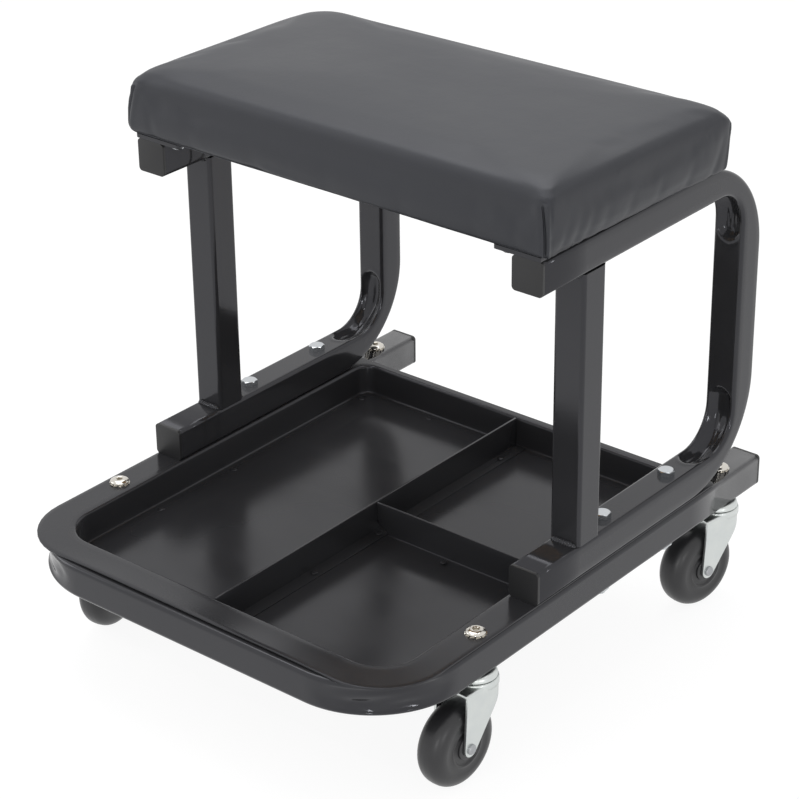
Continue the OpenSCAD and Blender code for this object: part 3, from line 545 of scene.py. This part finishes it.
def solids(name):
    """Lowest and highest corners, in millimetres, of the separate solids of a CAD node."""
    form = bmesh.new()
    form.from_mesh(nodes[name].data)
    bmesh.ops.remove_doubles(form, verts=form.verts, dist=2e-6)
    boxes, done = [], set()
    for first in form.verts:
        if first in done:
            continue
        group, wave = [], [first]
        done.add(first)
        while wave:
            vert = wave.pop()
            group.append(vert.co / MM)
            for edge in vert.link_edges:
                other = edge.other_vert(vert)
                if other not in done:
                    done.add(other)
                    wave.append(other)
        group = np.array(group)
        boxes.append((group.min(0), group.max(0)))
    form.free()
    return boxes


def spots(name, share=0.5, lift=0.0):
    """A point in the middle of each solid of a CAD node, at a share of its height."""
    return [(*(low + high)[:2] / 2, low[2] + share * (high[2] - low[2]) + lift) for low, high in solids(name)]


tree, size = rule("tack_weld", Radius=2.9 * MM, Height=0.55 * MM)
ball = add(tree, "GeometryNodeMeshUVSphere", {"Segments": 20, "Rings": 10, "Radius": size["Radius"]})
flatten = vector(1.0, 1.0, calc("DIVIDE", size["Height"], size["Radius"]))
drop = add(tree, "GeometryNodeTransform", {"Geometry": ball, "Scale": flatten})
odd = drawn(tree, (0.85, 0.8, 0.9), (1.1, 1.05, 1.2), 4)
spin = drawn(tree, (0, 0, 0), (0, 0, 6.28), 5)
end_rule(strewn(size["Geometry"], drop, Rotation=spin, Scale=odd), enamel)
tacks = grown("tack_drops", tree, spots("tray_tack_welds", 0, 0.1))
mount(tacks, "frame", "tray_enamel", "tray_tack_welds")

# Side frames: the same tube bent to a C that opens to the front. Its bends are pressed in
# deeply from inside, while their outer walls stay nearly smooth.
SIDE_LOW, SIDE_TOP, SIDE_IN, SIDE_FRONT, SIDE_REAR = 109.4, 369.8, 158.6, -60.3, 206.9
side_path = [(SIDE_FRONT, SIDE_LOW), (SIDE_REAR, SIDE_LOW), (SIDE_REAR, SIDE_TOP), (SIDE_FRONT, SIDE_TOP)]
for side, name in ((-1, "left"), (1, "right")):
    tube = bent_tube(name + "_side_tube", side_path, 78,
                     lambda p, q, v, side=side: (side * (SIDE_IN + v), p, q), 5.5, 0.5)
    mount(tube, "frame", "powder_coat", name + "_side_frame")

# Posts: two lengths of the same tube between the side frames' rails, held by four
# welds each. The welds are hand-laid beads, rippled every 2 mm, under the coat.


def finish_node(name, finish):
    """Gives a CAD node one material."""
    mesh = nodes[name].data
    if not len(mesh.materials):
        mesh.materials.append(finish)
    for i in range(len(mesh.materials)):
        mesh.materials[i] = finish


for name in ("left_post", "right_post"):
    finish_node(name, powder)

tree, size = rule("weld_bead", Radius=3.0 * MM, Ripple=2.1 * MM)
line = add(tree, "GeometryNodeMeshToCurve", {"Mesh": size["Geometry"]})
line = add(tree, "GeometryNodeResampleCurve", {"Curve": line, "Length": 0.35 * MM}, mode="LENGTH")
along = add(tree, "GeometryNodeSplineParameter")
wave = calc("SINE", calc("DIVIDE", calc("MULTIPLY", along.outputs["Length"], 2 * math.pi), size["Ripple"]))
ends = calc("POWER", calc("MULTIPLY", calc("SUBTRACT", along.outputs["Factor"], 0.5), 2.0), 6.0)
lump = add(tree, "ShaderNodeTexNoise", {"Scale": 160.0, "Detail": 1.0})
thick = calc("MULTIPLY_ADD", lump, 0.5, calc("MULTIPLY_ADD", wave, 0.13, 0.72))
thick = calc("MULTIPLY", thick, calc("MULTIPLY_ADD", ends, -0.6, 1.0))
line = add(tree, "GeometryNodeSetCurveRadius", {"Curve": line, "Radius": thick})
ring = add(tree, "GeometryNodeCurvePrimitiveCircle", {"Resolution": 14, "Radius": size["Radius"]})
bead = {"Curve": line, "Profile Curve": ring, "Scale": thick, "Fill Caps": True}
end_rule(add(tree, "GeometryNodeCurveToMesh", bead), powder)
points = []
for low, high in solids("frame_weld_beads"):
    y = low[1] + 0.3 if low[1] > 0 else high[1] - 0.3
    z = low[2] + 0.3 if low[2] < (SIDE_LOW + SIDE_TOP) / 2 else high[2] - 0.3
    points += [(low[0] - 0.8, y, z), (high[0] + 0.8, y, z)]
beads = grown("weld_beads", tree, points, [(i, i + 1) for i in range(0, len(points), 2)])
mount(beads, "frame", "powder_coat", "frame_weld_beads")

# Side frames' front caps: mouldings of the same polyethylene in the tubes' open ends,
# with rounded rims.
caps = eased_copy("side_frame_caps", "front_caps", plug_plastic, 1.3, 4)
mount(caps, "frame", "cap_plastic", "side_frame_caps")

# Frame bolts: M8 hex bolts with nuts and washers, two through each lower rail.
# Bright zinc plate over a cold-forged head: cool, fairly sharp, a little cloudy.
zinc, shader = material("bright_zinc_plate", "#c3c6c9", 0.24, 1.0)
cloud = noise(shader, 260, 3)
dull(shader, cloud, 0.12, 0.28)
bump(shader, cloud, 0.3, 0.0004)


def joined(*forms):
    """Several forms of one tree as one."""
    whole = add(home(forms), "GeometryNodeJoinGeometry")
    for form in forms:
        whole.id_data.links.new(form.outputs[0], whole.inputs[0])
    return whole


# Each head starts as a drum, whose levels are drawn out to a hexagon and, on top, to the
# circle of its chamfer.
tree, size = rule("hex_head", Flats=11.1 * MM, Height=4.4 * MM, Shank=4.0 * MM, Pitch=1.25 * MM,
                  Thread=1.0, Length=60 * MM)
drum = add(tree, "GeometryNodeMeshCylinder", {"Vertices": 48, "Side Segments": 2, "Fill Segments": 1,
                                              "Radius": 1.0, "Depth": size["Height"]})
x, y, z = add(tree, "ShaderNodeSeparateXYZ", {0: add(tree, "GeometryNodeInputPosition")}).outputs
angle = calc("ARCTAN2", y, x)
reach = calc("SQRT", calc("ADD", calc("MULTIPLY", x, x), calc("MULTIPLY", y, y)))
half = calc("MULTIPLY", size["Flats"], 0.5)
corner = calc("DIVIDE", half, calc("COSINE", calc("WRAP", angle, math.pi / 6, -math.pi / 6)))
chamfer = calc("SUBTRACT", corner, calc("MULTIPLY", half, 0.97))
level = calc("DIVIDE", z, size["Height"])
is_top = calc("GREATER_THAN", level, 0.3)
is_mid = calc("LESS_THAN", calc("ABSOLUTE", level), 0.2)
far = calc("MULTIPLY", calc("SUBTRACT", corner, calc("MULTIPLY", chamfer, is_top)), reach)
rise = calc("MULTIPLY", size["Height"], calc("ADD", is_top, is_mid))
rise = calc("SUBTRACT", rise, calc("MULTIPLY", is_mid, calc("MULTIPLY", chamfer, 0.58)))
place = vector(calc("MULTIPLY", calc("COSINE", angle), far), calc("MULTIPLY", calc("SINE", angle), far), rise)
head = add(tree, "GeometryNodeSetPosition", {"Geometry": drum, "Position": place})
rod = add(tree, "GeometryNodeMeshCylinder", {"Vertices": 18, "Side Segments": 96, "Radius": size["Shank"],
                                             "Depth": size["Length"]})
turns = calc("ADD", calc("DIVIDE", z, size["Pitch"]), calc("DIVIDE", angle, 2 * math.pi))
notch = calc("MULTIPLY_ADD", calc("PINGPONG", turns, 0.5), 0.3, -0.15)
notch = calc("MULTIPLY", notch, size["Thread"])
swell = vector(calc("MULTIPLY", x, notch), calc("MULTIPLY", y, notch), 0.0)
rod = add(tree, "GeometryNodeSetPosition", {"Geometry": rod, "Offset": swell})
down = vector(0.0, 0.0, calc("MULTIPLY", size["Length"], -0.5))
rod = add(tree, "GeometryNodeTransform", {"Geometry": rod, "Translation": down})
spin = drawn(tree, (0, 0, 0), (0, 0, 1.05), 7)
end_rule(strewn(size["Geometry"], joined(rod, head), Rotation=spin), zinc)

NUT_HIGH, WASHER_HIGH = 5.6, 1.5
bolt_spots = [spot[:2] for spot in spots("frame_bolts")]
bolts = grown("hex_bolts", tree, [(*spot, SIDE_LOW + TUBE) for spot in bolt_spots], sharp=25,
              Length=62.4 * MM)
mount(bolts, "frame", "zinc", "frame_bolts")
nut_z = BASE_LOW - WASHER_HIGH - NUT_HIGH
nuts = grown("hex_nuts", tree, [(*spot, nut_z) for spot in bolt_spots], sharp=25,
             Height=NUT_HIGH * MM, Length=0.3 * MM)
mount(nuts, "frame", "zinc", "frame_nuts")
mount(eased_copy("frame_washers", "flat_washers", zinc, 0.25), "frame", "zinc", "frame_washers")

# Casters: a raceway cap and a fork pressed from 2 mm steel, a spun rivet for an axle
# and a solid wheel. Barrel zinc plate: nearly white, satin, softly clouded.
fork_zinc, shader = material("barrel_zinc_plate", "#d9dcdb", 0.32, 1.0)
cloud = noise(shader, 90, 4)
dull(shader, cloud, 0.24, 0.42)
shade(shader, cloud, "#c6cbcb", "#d9dcd9")
bump(shader, cloud, 0.12, 0.001)

# Moulded hard rubber: a dull, slightly greyed black that scatters its highlights.
tyre, shader = material("moulded_hard_rubber", "#28282a", 0.36)
shade(shader, noise(shader, 60, 3), "#242426", "#2f2f31")
bump(shader, noise(shader, 700, 3), 0.1, 0.0003)

TRAIL, AXLE_Z, FOOT, RACE_R = 22.0, 32.5, 6.0, 16.5


def swept(profile, steps, close=True):
    """Points and faces of a profile of (radius, height) swept round the upright axis."""
    verts, faces, k = [], [], len(profile)
    for i in range(steps):
        t = 2 * math.pi * i / steps
        verts += [(r * math.cos(t), r * math.sin(t), z) for r, z in profile]
    for i in range(steps):
        a, b = i * k, (i + 1) % steps * k
        faces += [(a + j, b + j, b + j + 1, a + j + 1) for j in range(k - 1)]
        if close:
            faces.append((a + k - 1, b + k - 1, b, a))
    return np.array(verts), faces


def tidy(made, sharp=None, weld=0.001):
    """Merges doubles, turns the faces outwards and marks sharp edges."""
    form = bmesh.new()
    form.from_mesh(made.data)
    bmesh.ops.remove_doubles(form, verts=form.verts, dist=weld * MM)
    bmesh.ops.recalc_face_normals(form, faces=form.faces)
    form.to_mesh(made.data)
    form.free()
    made.data.shade_smooth()
    if sharp:
        made.data.set_sharp_from_angle(angle=math.radians(sharp))
    return made


def arc_points(x, z, r, begin, end, n):
    """Points of an arc round (x, z), between two angles in degrees."""
    return [(x + r * math.cos(t), z + r * math.sin(t)) for t in np.radians(np.linspace(begin, end, n))]


def side_on(form):
    """Turns a form's upright axis to the axle's line and moves it to the axle."""
    verts, faces = form
    return np.column_stack((verts[:, 2], verts[:, 1] - TRAIL, verts[:, 0] + AXLE_Z)), faces


wheel_side = [(4.4, 12.5), (8.7, 12.5)] + arc_points(8.7, 11.9, 0.6, 90, 0, 4) + [(9.4, 10.6), (9.9, 10.3)]
wheel_side += [(12.9, 10.3)] + arc_points(12.9, 11.0, 0.7, -90, -20, 4) + [(14.1, 11.45), (15, 11.5)]
wheel_side += [(15.6, 11.3), (16.2, 11.15), (18, 11.2), (20.5, 11.35), (21.3, 11.5)]
wheel_side += arc_points(22.45, 1.5, 10, 92, 12, 13) + [(32.42, 1.2), (32.49, 0.25)]
wheel_form = side_on(swept(wheel_side + [(r, -z) for r, z in wheel_side[::-1]], 72))

cap_profile = [(4.05, 82.4), (11.8, 82.4)] + arc_points(12.2, 79.4, 3.0, 85, 20, 6) + [(15.4, 79.3)]
cap_profile += [(15.5, 78.2), (15.2, 77.9), (14, 77.9), (13.9, 79.2), (13.2, 80.9), (4.05, 80.9)]
crown_profile = [(5.06, 77.4), (14.6, 77.4)] + arc_points(15.1, 76.1, 1.3, 90, 8, 5) + [(RACE_R, 75.2)]
crown_profile += [(RACE_R, 72.2), (15.9, 71.6), (14.6, 71.6), (14.5, 74.4), (13.6, 75.5), (5.06, 75.5)]


def leg_span(z):
    """Front and rear edges of the fork's leg at a height, drawn in to the crown."""
    toe = math.sqrt(max(FOOT ** 2 - (AXLE_Z - z) ** 2, 0.02))
    front = -TRAIL - toe if z < AXLE_Z else -TRAIL - FOOT + 2.8 * (z - AXLE_Z) / 43.5
    heel = 28.9
    if z < heel:
        return front, -TRAIL + toe
    line = -17.2 + (z - heel) * 0.7536
    return front, 6.6 - math.log(1 + math.exp((6.6 - line) / 1.6)) * 1.6


def fork_form():
    """Outer skin of the fork: leg, folded plate and leg, with the crown's swell."""
    fold, half, plate = 3.0, 15.0, 76.0
    column = [AXLE_Z - FOOT * math.cos(t) for t in np.linspace(0.06, 1.45, 9)]
    path = [(half, z, z) for z in column + list(np.linspace(33.4, plate - fold, 26))]
    path += [(x, z, plate) for x, z in arc_points(half - fold, plate - fold, fold, 15, 90, 6)]
    path += [(x, plate, plate) for x in (9, 6, 3)]
    path += [(0, plate, plate)] + [(-x, z, level) for x, z, level in path[::-1]]
    rows, shares = [], np.linspace(0, 1, 17)
    for x, z, level in path:
        front, rear = leg_span(min(level, 75))
        for share in shares:
            s = front + share * (rear - front)
            swell = max(math.sqrt(max(RACE_R ** 2 - s * s, 0)) - half, 0) * ease((z - 58) / 15)
            rows.append((x + math.copysign(float(swell), x) if abs(x) > 14 else x, s, z))
    return np.array(rows), lattice(len(path), len(shares), closed=False)


def placed(form, x, y, swing):
    """A form in the caster's own axes, turned and moved to its corner."""
    verts, faces = form
    c, s = math.cos(swing), math.sin(swing)
    turned = verts[:, 0] * c - verts[:, 1] * s + x, verts[:, 0] * s + verts[:, 1] * c + y
    return np.column_stack((*turned, verts[:, 2])), faces


# Rivet: bare steel wire, spun over at both ends; greyer and rougher than the plate.
rivet_steel, shader = material("spun_rivet_steel", "#a6a8aa", 0.38, 1.0)
bump(shader, noise(shader, 900, 2), 0.3, 0.0003)
rivet_end = [(0.01, 17.05), (1.2, 17.0), (1.7, 16.75), (2.1, 16.95)] + arc_points(2.5, 15.6, 1.4, 75, 0, 6)
rivet_end += [(3.9, 15.0), (3.0, 15.0), (3.0, 0)]
rivet_form = side_on(swept(rivet_end + [(r, -z) for r, z in rivet_end[::-1]], 40, False))

casters = {"front_left": (-171.3, -116.2, 12), "front_right": (171.3, -116.2, -2.5),
           "rear_left": (-171.3, 186.0, 5), "rear_right": (171.3, 186.0, -11)}
for name, (x, y, degrees) in casters.items():
    here = (x, y, math.radians(degrees))
    cap = tidy(piece(name + "_raceway_cap", *placed(swept(cap_profile, 72), *here), fork_zinc), 50)
    mount(cap, "frame", "fork_zinc", name + "_race")
    skin = tidy(piece(name + "_fork_pressing", *placed(fork_form(), *here), fork_zinc), weld=0.0)
    sheet(skin, 2)
    soften(skin, 0.35, 2)
    settle(skin)
    crown = tidy(piece(name + "_crown", *placed(swept(crown_profile, 72), *here), fork_zinc), 60)
    both = bmesh.new()
    both.from_mesh(skin.data)
    both.from_mesh(crown.data)
    both.to_mesh(skin.data)
    both.free()
    bpy.data.objects.remove(crown)
    mount(skin, name + "_swivel", "fork_zinc", name + "_fork")
    axle = tidy(piece(name + "_spun_rivet", *placed(rivet_form, *here), rivet_steel), 50)
    mount(axle, name + "_swivel", "zinc", name + "_axle")
    wheel = tidy(piece(name + "_solid_wheel", *placed(wheel_form, *here), tyre), 50)
    mount(wheel, name + "_roller", "wheel_black", name + "_wheel")
    for part in ("stem", "balls", "thrust_washer", "sleeve"):
        finish_node(name + "_" + part, zinc)

# Barrel nuts: button heads with a 5 mm hex socket over the casters' stems, each on a
# toothed lock washer. Nickel plate: a mirror with a faint warm cast.
nickel, shader = material("nickel_plate", "#d0ccc4", 0.16, 1.0)
dull(shader, noise(shader, 350, 2), 0.1, 0.26)


def button_nut(x, y, foot, seat):
    """A low domed head with a hex socket on a round barrel, standing on seat."""
    head = [(5.0, foot), (5.0, seat), (6.9, seat)] + arc_points(6.2, seat + 1.2, 1.05, -30, 65, 6)
    head += [(6.0, seat + 2.55), (5.2, seat + 3.0), (4.2, seat + 3.3), (3.2, seat + 3.4), (2.8, seat + 3.3)]
    steps = 48
    verts, faces = swept(head, steps, False)
    k, n = len(head), len(verts)
    turn = np.linspace(0, 2 * math.pi, steps, endpoint=False)
    reach = 2.2 / np.cos((turn + math.pi / 6) % (math.pi / 3) - math.pi / 6)
    socket = np.column_stack((reach * np.cos(turn), reach * np.sin(turn)))
    verts = np.concatenate((verts, raised(socket, seat + 3.1), raised(socket, seat + 1.0)))
    mouth, top, bottom = (range(k - 1, n, k), range(n, n + steps), range(n + steps, n + 2 * steps))
    for low, high in ((mouth, top), (top, bottom)):
        faces += [(low[i], low[(i + 1) % steps], high[(i + 1) % steps], high[i]) for i in range(steps)]
    faces += [tuple(bottom), tuple(range(0, n, k))]
    return verts + np.array((x, y, 0)), faces


HEAD_HIGH = 3.2
nut_verts, nut_faces, count = [], [], 0
for low, high in solids("caster_barrel_nuts"):
    verts, faces = button_nut(*(low + high)[:2] / 2, low[2], high[2] - HEAD_HIGH)
    nut_verts.append(verts)
    nut_faces += [tuple(i + count for i in face) for face in faces]
    count += len(verts)
nuts = tidy(piece("button_nuts", np.concatenate(nut_verts), nut_faces, nickel), 35)
mount(nuts, "frame", "nickel", "caster_barrel_nuts")

tree, size = rule("toothed_washer", Radius=6.2 * MM, Thickness=0.8 * MM, Teeth=10, Tooth=3.1 * MM, Twist=0.2)
circle = add(tree, "GeometryNodeCurvePrimitiveCircle", {"Resolution": 48, "Radius": size["Radius"]})
band = add(tree, "GeometryNodeCurvePrimitiveQuadrilateral", {"Width": 1.6 * MM, "Height": size["Thickness"]})
ring = add(tree, "GeometryNodeCurveToMesh", {"Curve": circle, "Profile Curve": band})
rim = add(tree, "GeometryNodeCurvePrimitiveCircle", {"Resolution": size["Teeth"],
                                                     "Radius": calc("ADD", size["Radius"], 0.55 * MM)})
rim = add(tree, "GeometryNodeCurveToPoints", {"Curve": rim}, mode="EVALUATED")
shape = vector(calc("MULTIPLY", size["Tooth"], 0.6), size["Tooth"], size["Thickness"])
tooth = add(tree, "GeometryNodeMeshCube", {"Size": shape, "Vertices X": 3, "Vertices Y": 3, "Vertices Z": 2})
face = add(tree, "FunctionNodeAlignEulerToVector", {"Vector": rim.outputs["Tangent"]}, axis="Y")
twist = vector(size["Twist"], 0.0, 0.0)
turned = add(tree, "FunctionNodeRotateEuler", {"Rotation": face, "Rotate By": twist}, space="LOCAL")
whole = joined(ring, strewn(rim, tooth, Rotation=turned))
end_rule(strewn(size["Geometry"], whole), nickel)
lock_washers = grown("lock_washers", tree, spots("caster_tooth_washers"), sharp=30)
mount(lock_washers, "frame", "nickel", "caster_tooth_washers")

# Seat plates: coated 3 mm steel straps on the upper rails, with sheared, eased edges.
# Pan-head screws go up through them into the board.
STRAP_END = 182.3
for name in ("front_left", "front_right", "rear_left", "rear_right"):
    strap = eased_copy(name + "_seat_plate", name + "_strap", powder, 0.6, 3)
    if name.endswith("right"):
        for vert in strap.data.vertices:
            vert.co.x = min(vert.co.x, STRAP_END * MM)
    mount(strap, "frame", "powder_coat", name + "_seat_plate")
mount(eased_copy("seat_screws", "pan_head_screws", zinc, 0.9, 3), "frame", "zinc", "seat_screws")

# Seat board: birch plywood, its face seen only from below. Rotary-cut veneer shows as
# warm, flowing bands along the grain, with fine dark pores about 1 mm apart.
plywood, shader = material("birch_plywood", "#c39a66", 0.6)
tree = shader.id_data
pores = noise(shader, 1.0, 2, 0.0, (60, 900, 900))
veneer = shade(shader, noise(shader, 1.2, 4, 1.5, (6, 60, 60)), "#a87c4a", "#d3ae7c")
dark = add(tree, "ShaderNodeMapRange", {"Value": pores, "From Min": 0.62, "From Max": 0.75, "To Max": 0.5})
wood = add(tree, "ShaderNodeMix", {"Factor": dark, "A": veneer, "B": tone("#7d5a34")}, data_type="RGBA")
tree.links.new(wood.outputs["Result"], shader.inputs["Base Color"])
bump(shader, pores, 0.2, 0.0003)

# The seat isn't true: its ends lean, as the corners of its bottom and top show.
BOTTOM = np.array(((-196, -64.3), (187.4, -64.8), (193.8, 142.4), (-188, 141.6)))
TOP = np.array(((-190.6, -64.3), (190.4, -64.4), (198.4, 142.2), (-186.8, 140.6)))
SEAT_LOW, SEAT_EDGE = 373.0, 415.0


def corner_ring(z, inset, r, steps=8, between=12):
    """Rounded outline of the cushion at a height, from its four leaning corners."""
    share = np.clip((z - SEAT_LOW) / (SEAT_EDGE - SEAT_LOW), 0, 1.15)
    corners = BOTTOM * (1 - share) + TOP * share
    centres = corners - np.sign(corners - corners.mean(0)) * (inset + r)
    turns = zip(centres, (180, 270, 0, 90))
    return chained([corner_arc(*centre, r, begin, steps) for centre, begin in turns], between)


def stack(rings):
    """Points and faces of rings one on the other, closed at both ends."""
    n, k = len(rings), len(rings[0])
    ends = [tuple(range(k))[::-1], tuple(range((n - 1) * k, n * k))]
    return np.concatenate(rings), lattice(n, k) + ends


rings = [raised(corner_ring(SEAT_LOW, inset, 8), z)
         for z, inset in ((374.0, 5.2), (374.4, 4.8), (385.6, 4.8), (386.0, 5.2))]
board = piece("ply_board", *stack(rings), plywood)
board.data.set_sharp_from_angle(angle=math.radians(40))
mount(board, "frame", "plywood", "seat_board")

# Cushion: a foam block on the board under one piece of vinyl, pulled down hard at the
# corners and stapled underneath. The pull flattens the sides, leaves a fold at each
# corner and fine puckers over the staples.
# Satin vinyl: soft broad highlights on a leather-like grain about 1 mm across.
vinyl, shader = material("satin_grained_vinyl", "#2f3033", 0.45, Specular_IOR_Level=0.38,
                         Specular_Tint=tone("#f0f2fa"))
spot = add(shader.id_data, "ShaderNodeTexCoord").outputs["Object"]
cells = add(shader.id_data, "ShaderNodeTexVoronoi", {"Vector": spot, "Scale": 850.0}, feature="SMOOTH_F1")
patches = noise(shader, 9, 3)
shade(shader, patches, "#2d2e31", "#333438")
dull(shader, patches, 0.4, 0.5, 0.3, 0.7)
fine = bump(shader, cells, 0.12, 0.0003)
bump(shader, noise(shader, 60, 4), 0.1, 0.002, Normal=fine)

levels = [(372.7, 1.2), (373.6, 0.5), (385, 0.4), (400, 0.4), (409.6, 0.6), (413.8, 1.3), (417.3, 3.0),
          (419.8, 5.8), (421.3, 10)]
rings = [raised(corner_ring(z, inset, 3.6 + inset * 0.8), z) for z, inset in levels]
shoulder, crest = rings[-1][:, :2], np.array((1, 38.7))
for share, z in ((0.8, 423.1), (0.6, 424.3), (0.4, 425), (0.2, 425.3)):
    rings.append(raised(shoulder * share + crest * (1 - share), z))
cushion = piece("cushion", *stack(rings), vinyl)
remesh = cushion.modifiers.new("remesh", "REMESH")
remesh.mode, remesh.voxel_size, remesh.use_smooth_shade = "VOXEL", 4.0 * MM, True
settle(cushion)

# The foam's push: pressure inside the cover, held where it is stapled to the board.
rest = np.array([tuple(v.co) for v in cushion.data.vertices])
held = cushion.vertex_groups.new(name="held")
held.add([i for i, p in enumerate(rest) if p[2] < 376.5 * MM], 1.0, "REPLACE")
cloth = cushion.modifiers.new("cover", "CLOTH")
cloth.settings.quality = 6
cloth.settings.mass = 0.4
cloth.settings.tension_stiffness = cloth.settings.compression_stiffness = 25
cloth.settings.bending_stiffness = 1.0
cloth.settings.use_pressure = True
cloth.settings.uniform_pressure_force = 4
cloth.settings.vertex_group_mass = "held"
cloth.settings.effector_weights.gravity = 0
cloth.collision_settings.use_self_collision = False
for frame_no in range(1, 21):
    scene.frame_set(frame_no)
settle(cushion)
# Half of the push is kept, up to MOST.
MOST = 1.6 * MM
push = np.array([tuple(v.co) for v in cushion.data.vertices]) - rest
far = np.linalg.norm(push, axis=1, keepdims=True)
push *= np.minimum(0.5, MOST / np.maximum(far, 1e-9))
cushion.data.vertices.foreach_set("co", (rest + push).ravel())
scene.frame_set(1)

smoother = cushion.modifiers.new("skin", "SUBSURF")
smoother.levels = smoother.render_levels = 1
settle(cushion)

# Corner folds, puckers and the flat base are pressed into the finished skin, which
# gets finer round the corners first.
form = bmesh.new()
form.from_mesh(cushion.data)
for reach in (17, 13):
    chosen = []
    for edge in form.edges:
        px, py = (edge.verts[0].co + edge.verts[1].co).xy / 2 / MM
        if any(abs(px - a[0]) < reach and abs(py - a[1]) < reach for a in TOP):
            chosen.append(edge)
    bmesh.ops.subdivide_edges(form, edges=chosen, cuts=1, use_grid_fill=True)
bmesh.ops.triangulate(form, faces=[face for face in form.faces if len(face.verts) > 4])
form.to_mesh(cushion.data)
form.free()
skin = np.empty(len(cushion.data.vertices) * 3)
cushion.data.vertices.foreach_get("co", skin)
x, y, z = skin.reshape(-1, 3).T / MM
z = z - 1.2 * ease((380 - z) / 5)
share = np.clip((z - SEAT_LOW) / (SEAT_EDGE - SEAT_LOW), 0, 1.1)
signs = ((-1, -1), (1, -1), (1, 1), (-1, 1))
for (sx, sy), bottom, top, lip, low in zip(signs, BOTTOM, TOP, (0.9, 1.0, 0.8, 0.8), (2.0, 2.2, 2.4, 6.4)):
    # Across the corner: dx and dy in from its two sides, lean from the folds' slanting line.
    cx = bottom[0] * (1 - share) + top[0] * share
    cy = bottom[1] * (1 - share) + top[1] * share
    dx, dy = sx * (cx - x), sy * (cy - y)
    near = hump(np.minimum(dx, dy), 4.5) * ease((20 - np.maximum(dx, dy)) / 6)
    down = ease((z - 372) / 2) * ease((411 - z) / 3)
    lean = dy - dx + 5.5 * np.clip((z - 375) / 36, 0, 1.2) ** 1.5
    fold = (1.5 * hump(lean - 3.4, 1.9) - 1.9 * hump(lean, 0.95) + 0.5 * hump(lean + 5, 3)) * down
    fold -= 0.5 * hump(lean - 7.2, 1.2) * ease((z - 396) / 8) * down
    fold -= 0.9 * hump(z - 412, 1.3) * hump(lean - 2.8, 3.4)
    fold += 0.9 * hump(z - 415.5, 2.6) * hump(lean + 0.5, 4.5)
    x = x + sx * lip * fold * near * 0.75
    y = y + sy * lip * fold * near * 0.75
    z = z - low * hump(np.hypot(x - cx, y - cy), 26) * ease((z - 408) / 10)
for spot_y, deep, wide in ((-47, 0.5, 3.5), (-34, 0.7, 4), (-21, 0.6, 4), (-4, 0.5, 5), (22, 0.5, 5),
                           (55, 0.5, 5), (90, 0.6, 5), (122, 0.8, 4)):
    for sx in (-1, 1):
        side = ease((sx * x - 178) / 6) * ease((404 - z) / 24)
        x = x - sx * side * deep * hump(y - spot_y - (z - SEAT_LOW) * 0.25, wide)
for spot_x, deep, wide in ((-168, 0.7, 4), (-130, 0.4, 7), (-70, 0.35, 8), (0, 0.35, 8), (66, 0.4, 8),
                           (128, 0.45, 6), (162, 0.6, 4)):
    for sy, edge in ((-1, -62.8), (1, 140.2)):
        side = ease((9 - np.abs(y - edge)) / 6) * ease((400 - z) / 20)
        y = y - sy * side * deep * hump(x - spot_x, wide)
inward = np.minimum(np.minimum(x + 188, 186 - x), np.minimum(y + 60, 137 - y))
inside = ease((inward + 1) / 2) * (z < 376)
z = np.where(inside > 0, SEAT_LOW + 1.4 * inside, z)
cushion.data.vertices.foreach_set("co", (np.column_stack((x, y, z)) * MM).ravel())
cushion.data.update()
cushion.data.shade_smooth()
mount(cushion, "frame", "vinyl", "seat_cover", "seat_foam")

# Hem: the cover's edge, turned under the board and flattened by the staples. It ripples
# slightly between them.
hem_rings = []
for inset, z in ((3.5, 374.2), (1.9, 373.5), (2.6, 372.95), (8, 373.0), (16, 373.05), (23.3, 373.0),
                 (24, 373.3), (23.6, 373.9), (12, 374.0)):
    ring = corner_ring(SEAT_LOW, inset, 9 - inset * 0.25, 8, 40)
    ripple = 0.14 * np.sin(np.arange(len(ring)) * 0.9) * min(1, inset / 8)
    hem_rings.append(raised(ring, z + ripple))
hem_faces = lattice(len(hem_rings), len(ring), flip=True)
mount(piece("cover_hem", np.concatenate(hem_rings), hem_faces, vinyl), "frame", "vinyl")

# Staples: 0.8 mm galvanised wire, driven through the hem, so that only their crowns show.
# Each lies a little aslant.
tree, size = rule("staple_crown", Wire=0.42 * MM, Width=10 * MM)
half = calc("MULTIPLY", size["Width"], 0.5)
bar = add(tree, "GeometryNodeCurvePrimitiveLine", {"Start": vector(calc("MULTIPLY", half, -1.0), 0.0, 0.0),
                                                   "End": vector(half, 0.0, 0.0)})
bar = add(tree, "GeometryNodeResampleCurve", {"Curve": bar, "Count": 13})
along = add(tree, "GeometryNodeSplineParameter")
bend = calc("POWER", calc("ABSOLUTE", calc("MULTIPLY_ADD", along, 2.0, -1.0)), 8.0)
lift = vector(0.0, 0.0, calc("MULTIPLY", bend, 1.2 * MM))
bar = add(tree, "GeometryNodeSetPosition", {"Geometry": bar, "Offset": lift})
ring = add(tree, "GeometryNodeCurvePrimitiveCircle", {"Resolution": 8, "Radius": size["Wire"]})
wire = add(tree, "GeometryNodeCurveToMesh", {"Curve": bar, "Profile Curve": ring, "Fill Caps": True})
# At the seat's two ends the crowns turn, to lie along the edge there too.
place = add(tree, "ShaderNodeSeparateXYZ", {0: add(tree, "GeometryNodeInputPosition")})
at_end = calc("GREATER_THAN", calc("ABSOLUTE", place), 170 * MM)
way = vector(0.0, 0.0, calc("MULTIPLY_ADD", at_end, math.pi / 2, drawn(tree, -0.12, 0.12, 11)))
end_rule(strewn(size["Geometry"], wire, Rotation=way), zinc)
crowns = grown("staple_crowns", tree, spots("cover_staples", 0, 0.42))
mount(crowns, "frame", "zinc", "cover_staples")
